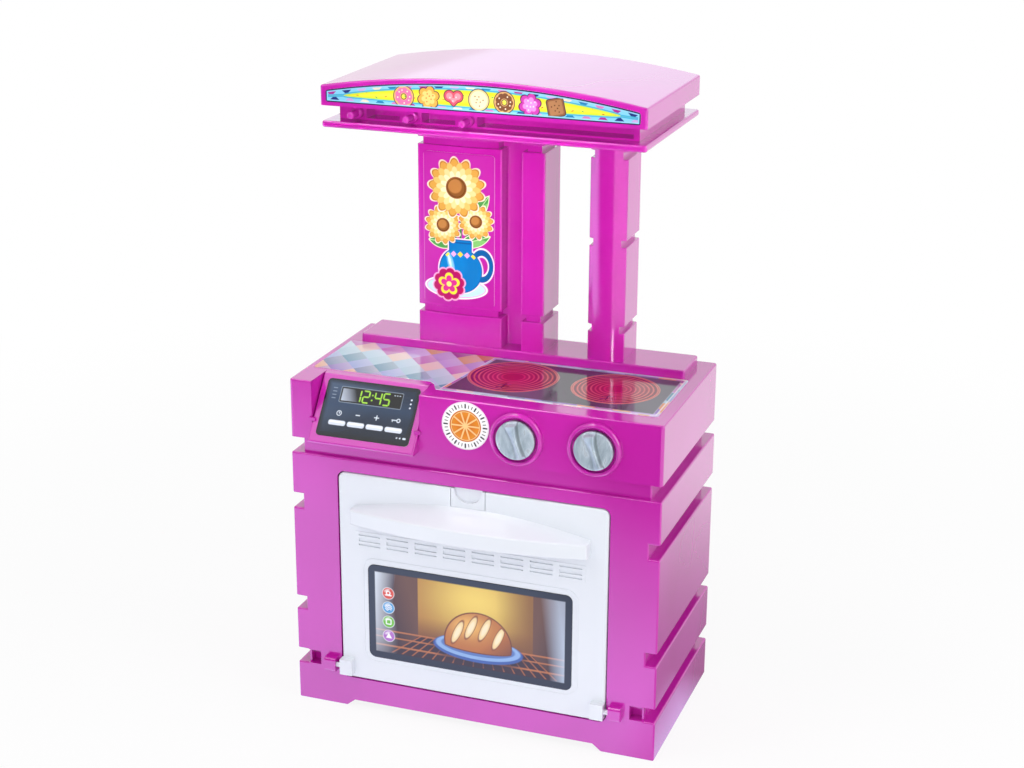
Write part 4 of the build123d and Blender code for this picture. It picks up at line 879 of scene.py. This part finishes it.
stick("hob_film", "worktop_label", glass_vinyl, film_shell(
    worktop_across, worktop_floor, worktop_roof, worktop_pitch, worktop_put, "#D9C3E4", worktop_ink))

# %% [markdown]
# The display film leans back with its plate, so its height runs up a slope. It is printed as an appliance
# panel: a dark window with green seven-segment digits, four pale keys, and a plain sign over each key.

# %% Display film
display_pitch = 0.3
display_corner = 4.0
slope_angle = math.atan2(55.0, 42.0)
slope_up = (math.cos(slope_angle), math.sin(slope_angle))
display_low, display_high = box_mm("display_label")
display_wide = display_high[0] - display_low[0]
display_tall = (display_high[2] - display_low[2] - film_thickness * slope_up[0]) / slope_up[1]
display_foot = (display_low[1] + film_thickness * slope_up[1], display_low[2])
digit_height = 11.6
digit_width = 6.2
digit_gap = 1.0
digit_segments = {"1": "bc", "2": "abged", "4": "fgbc", "5": "afgcd"}
segment_ends = {
    "a": ((0, 2), (1, 2)), "b": ((1, 2), (1, 1)), "c": ((1, 1), (1, 0)), "d": ((0, 0), (1, 0)),
    "e": ((0, 0), (0, 1)), "f": ((0, 1), (0, 2)), "g": ((0, 1), (1, 1))}
sign_level = 24.0
sign_strokes = (
    (19.0, 0, 19.0, 1.3, 0.32), (19.0, 0, 20.0, 0, 0.32), (36.6, 0, 40.2, 0, 0.5), (55.7, 0, 59.9, 0, 0.5),
    (57.8, -2.1, 57.8, 2.1, 0.5), (78.6, 0, 73.6, 0, 0.5), (74.2, 0, 74.2, -1.4, 0.45))
lamp_dots = ((88.5, 45.6, 0.9), (88.5, 41.6, 0.9), (88.5, 37.6, 0.9), (82.4, 7.2, 0.8), (85.6, 7.2, 0.8))


def display_put(x, v, depth):
    """A point at width x and v up the slope: the foot, plus v along the slope, plus the depth square to it."""
    return np.stack((
        display_low[0] + x, display_foot[0] + v * slope_up[0] - depth * slope_up[1],
        display_foot[1] + v * slope_up[1] + depth * slope_up[0]), axis=-1)


def digit(x, v, name, left, bottom):
    """A seven-segment digit: the nearest of the figure's strokes, each short by a gap at its ends."""
    strokes = []
    for segment in digit_segments[name]:
        start, end = np.array(segment_ends[segment]) * (digit_width, digit_height / 2) + (left, bottom)
        inset = digit_gap * np.sign(end - start)
        strokes.append(stroke(x, v, start + inset, end - inset, 0.75))
    return np.min(strokes, axis=0)


def display_print_and_glare(lay, blend, x, v):
    """The printed panel and a painted lamp reflection on it, over its width and its height up the slope."""
    # The first and third blends are a painted lamp reflection: lighter at the top left, darker towards the
    # bottom.
    blend("#465C7A", np.clip(0.95 - (x + 62 - v) / 92, 0, 0.9))
    blend("#223C5C", 0.7 * bell(v - 34, 9))
    blend("#070E1A", 0.9 * held((20 - v) / 22))
    rim = slab(x, v, (display_wide / 2, display_tall / 2), (display_wide, display_tall), display_corner)
    blend("#05080F", held((rim + 5.5) / 5.0))
    window = slab(x, v, (47.5, 43.0), (63.0, 15.0), 0.8)
    lay("#A9BACB", window - 0.7, 0.5)
    lay("#030406", window)
    # Painted reflection: a pale wash over the left of the dark window.
    blend("#B9C4D6", held(0.5 - (window + 1.4) / 0.6) * held((33 - x - 0.4 * (v - 43)) / 18))
    for name, left in zip("1245", (30.4, 39.2, 51.4, 60.2)):
        lay("#9CD43C", digit(x, v, name, left, 37.2))
    for level in (40.4, 45.4):
        lay("#9CD43C", disc(x, v, (48.6, level), 0.85))
    for place in range(3):
        lay("#C9D6E2", slab(x, v, (71.0 + 2.6 * place, 48.0), (1.6, 0.9), 0.3), 0.8)
    for place in range(4):
        key = slab(x, v, (19.0 + 19.4 * place, 14.3), (17.6, 5.0), 2.0)
        lay("#0F1828", key - 0.6, 0.6)
        lay("#D5DEEE", key)
        blend("#FFFFFF", held(0.5 - (key + 1.0) / 1.0) * held((v - 14.3 + 0.6) / 1.5))
    rings = [np.abs(disc(x, v, (middle, sign_level), radius)) - line
             for middle, radius, line in ((19.0, 2.3, 0.38), (80.2, 1.6, 0.5))]
    lines = [stroke(x, v, (x1, sign_level + v1), (x2, sign_level + v2), line)
             for x1, v1, x2, v2, line in sign_strokes]
    dots = [disc(x, v, (middle, level), radius) for middle, level, radius in lamp_dots]
    for distance in (*rings, *lines, *dots, slab(x, v, (90.0, 7.2), (3.4, 2.0), 1.0)):
        lay("#D9E4F0", distance)
    for place in range(4):
        lay("#8FA3B8", slab(x, v, (9.4, 48.6 - 3.4 * place), (4.2, 0.9), 0.3), 0.7)
        lay("#22324A", slab(x, v, (83.0, 47.4 - 3.4 * place), (4.6, 1.0), 0.3), 0.6)


stick("control_film", "display_label", glass_vinyl, film_shell(
    *rounded_span(0.0, display_wide, 0.0, display_tall, display_corner, display_pitch),
    display_pitch, display_put, "#12233A", display_print_and_glare))

# %% [markdown]
# The round badge between the display and the knobs is a plain slice of orange: a white ring round an orange
# disc with ten segments. Its columns stand at the cosines of even angles, and so crowd where the edge is steep.

# %% Badge film
badge_pitch = 0.3
badge_segments = 10
badge_ticks = 36
badge_low, badge_high = box_mm("round_label")
badge_radius = (badge_high[0] - badge_low[0]) / 2
badge_middle = ((badge_low[0] + badge_high[0]) / 2, (badge_low[2] + badge_high[2]) / 2)
badge_turn = np.linspace(0.03, math.pi - 0.03, int(math.pi * badge_radius / badge_pitch))
badge_half = badge_radius * np.sin(badge_turn)


def badge_ink(lay, blend, x, z):
    """White ring, orange disc, and segments: far from the nearest of the rays, which n a / 2 pi counts."""
    away, angle = np.hypot(x, z), np.arctan2(z, x)
    lay("#E7DDE6", np.abs(away - badge_radius + 0.5) - 0.5)
    for place in range(badge_ticks):
        turn = place * 2 * math.pi / badge_ticks
        ends = [
            (reach * math.cos(turn), reach * math.sin(turn)) for reach in (17.9, 20.6 if place % 3 else 21.2)]
        lay("#2B2730", stroke(x, z, *ends, 0.42 if place % 3 else 0.75))
    lay("#C8660E", away - 15.6)
    blend("#DE8C24", (away < 15.4) * held(1.2 - away / 13))
    wedge = np.abs(np.mod(angle * badge_segments / (2 * math.pi), 1) - 0.5) * 2 * math.pi / badge_segments
    pulp = np.max([wedge * away - math.pi / badge_segments * away + 0.75, away - 13.6, 2.0 - away], axis=0)
    lay("#EFC888", away - 14.4)
    lay("#D26C0C", pulp)
    blend("#E9962E", (pulp < -0.5) * held((away - 5) / 9) * 0.7)


stick("badge_film", "round_label", label_vinyl, film_shell(
    -badge_radius * np.cos(badge_turn), -badge_half, badge_half, badge_pitch,
    upright(badge_middle[0], badge_high[1], badge_middle[1]), "#F4F2F4", badge_ink))

# %% [markdown]
# The oven window is a print too: a slate frame round a warm view into the oven, with its side walls drawn in
# perspective, a wire rack, and a round loaf on a blue plate. Four coloured signs stand at the left.

# %% Window film
window_pitch = 0.52
window_corner = 7.0
window_frame = 6.8
window_low, window_high = box_mm("window_label")
window_wide = window_high[0] - window_low[0]
window_tall = window_high[2] - window_low[2]
back_wall = (52.0, 170.0, 30.0, 94.0)
rack_wires = 17
dish = (114.0, 27.0)
sign_shades = ("#D8503F", "#4E9FD8", "#6FBF3F", "#B06FC8")


def oven_ink(lay, blend, x, z):
    """The oven's inside: lit back wall, side walls, floor, and a rack whose wires run to one point."""
    left, right, bottom, top = back_wall
    above = top + 20
    glow = np.exp(-(((x - 112) / 62) ** 2 + ((z - 78) / 46) ** 2))
    wall = corners(x, z, [(left, bottom), (left, above), (right, above), (right, bottom)])
    lay("#A8702C", wall)
    blend("#F1D26A", (wall < 0) * glow ** 1.6)
    blend("#6E4226", (wall < 0) * np.clip((52 - z) / 26, 0, 0.85))
    blend("#7A5028", (wall < 0) * np.clip((x - 132) / 46, 0, 0.75))
    left_wall = corners(x, z, [(18, -10), (30, above), (left, above), (left, bottom)])
    right_wall = corners(x, z, [(right, bottom), (right, above), (204, above), (204, -10)])
    for side_wall, away in ((left_wall, left - x), (right_wall, x - right)):
        lay("#6A4A38", side_wall)
        blend("#2A1C22", (side_wall < 0) * held(away / 40 + (50 - z) / 120))
    lay("#33201F", corners(x, z, [(8, -10), (left, bottom), (right, bottom), (212, -10)]))
    for share in (np.arange(rack_wires) + 0.5) / rack_wires:
        far, near = left + (right - left) * share, 16 + 186 * share
        lay("#A86238", np.maximum(stroke(x, z, (near, 6), (far, 31), 0.55), 8 - z))
    for level, width in ((31.0, 0.8), (24.0, 0.7), (15.0, 0.9)):
        lay("#BC7444", np.abs(z - level) - width, 0.9)


def loaf_ink(lay, blend, x, z):
    """A loaf with four cuts on a blue plate: the loaf is an ellipse that a shallower arc closes below."""
    lay("#2B1D24", oval(x, z, (dish[0], dish[1] - 4), (48, 15)), 0.7, 3.0)
    for shade, lift, radii in (
            ("#3D5FA8", 0, (46, 14)), ("#8FB2E4", 1.4, (43.5, 12.2)), ("#5878BA", 2.2, (38, 9.6))):
        lay(shade, oval(x, z, (dish[0], dish[1] + lift), radii))
    foot = dish[1] + 1.5 - z - 6 * np.sqrt(held(1 - ((x - dish[0]) / 36) ** 2))
    loaf = np.maximum(oval(x, z, (dish[0], dish[1] + 6), (35, 33)), foot)
    lay("#6B3A22", loaf)
    lay("#B86E34", loaf + 1.2)
    blend("#EBB562", (loaf < -1.5) * np.exp(-(((x - 104) / 20) ** 2 + ((z - 50) / 13) ** 2)))
    blend("#7A4426", (loaf < -1.2) * np.clip((x - 124) / 34 + (34 - z) / 30, 0, 0.85))
    for aside in (-21, -7, 7, 21):
        cut = np.maximum(oval(x, z, (dish[0] + aside, 50 - 0.018 * aside ** 2), (3.4, 12.5), -0.42), loaf + 2.4)
        lay("#8A4F2A", cut - 0.7)
        lay("#F4D9A0", cut)
        lay("#FBEBC8", cut + 1.3, edge=1.0)


def sign(x, z, place):
    """One of four plain signs about the origin: a pot, three waves, a square and a triangle."""
    if place == 0:
        return np.minimum(stroke(x, z, (-3, -2), (3, -2), 0.6), np.abs(disc(x, z, (0, 0.4), 1.9)) - 0.55)
    if place == 1:
        waves = [np.abs(z - shift - 0.8 * np.sin(x * 1.3)) - 0.5 for shift in (-2, 0, 2)]
        return np.maximum(np.min(waves, axis=0), disc(x, z, (0, 0), 3.8))
    if place == 2:
        return np.abs(slab(x, z, (0, 0), (5.0, 5.0), 0.6)) - 0.55
    return corners(x, z, [(-3.2, -2.4), (0, 3.2), (3.2, -2.4)])


def window_ink(lay, blend, x, z):
    """The oven's view, its reflections and signs, then the frame over it."""
    oven_ink(lay, blend, x, z)
    loaf_ink(lay, blend, x, z)
    pane = slab(x, z, (window_wide / 2, window_tall / 2), (window_wide, window_tall), window_corner)
    blend("#DDE6F2", held(1 - (x - window_frame) / 22 + 0.1 * np.sin(z / 14)) * held(0.25 + z / 90))
    blend("#C9D9F0", held((x - 188 + 0.12 * z) / 18) * held(0.9 - z / 260))
    for place, shade in enumerate(sign_shades):
        across, up = x - 21.0, z - 71.0 + 15.2 * place
        lay("#F4F6FA", disc(across, up, (0, 0), 6.4))
        lay(shade, disc(across, up, (0, 0), 5.9))
        lay("#FFFFFF", oval(across, up, (-1.4, 3.0), (3.0, 1.3), 0.5), 0.6, 1.2)
        lay("#FFFFFF", sign(across, up, place))
    inner = pane + window_frame
    lay("#1E2731", -inner - 0.5, 0.8)
    lay("#28343F", -inner)
    blend("#1E2832", (inner > 0) * held((30 - z) / 26))
    blend("#1C262F", (inner > 0) * held((x - 170) / 40))
    lay("#1A222B", -pane - 0.9)


stick("oven_view_film", "window_label", label_vinyl, film_shell(
    *rounded_span(0.0, window_wide, 0.0, window_tall, window_corner, window_pitch),
    window_pitch, upright(window_low[0], window_high[1], window_low[2]),
    "#3A2628", window_ink), "oven_door")
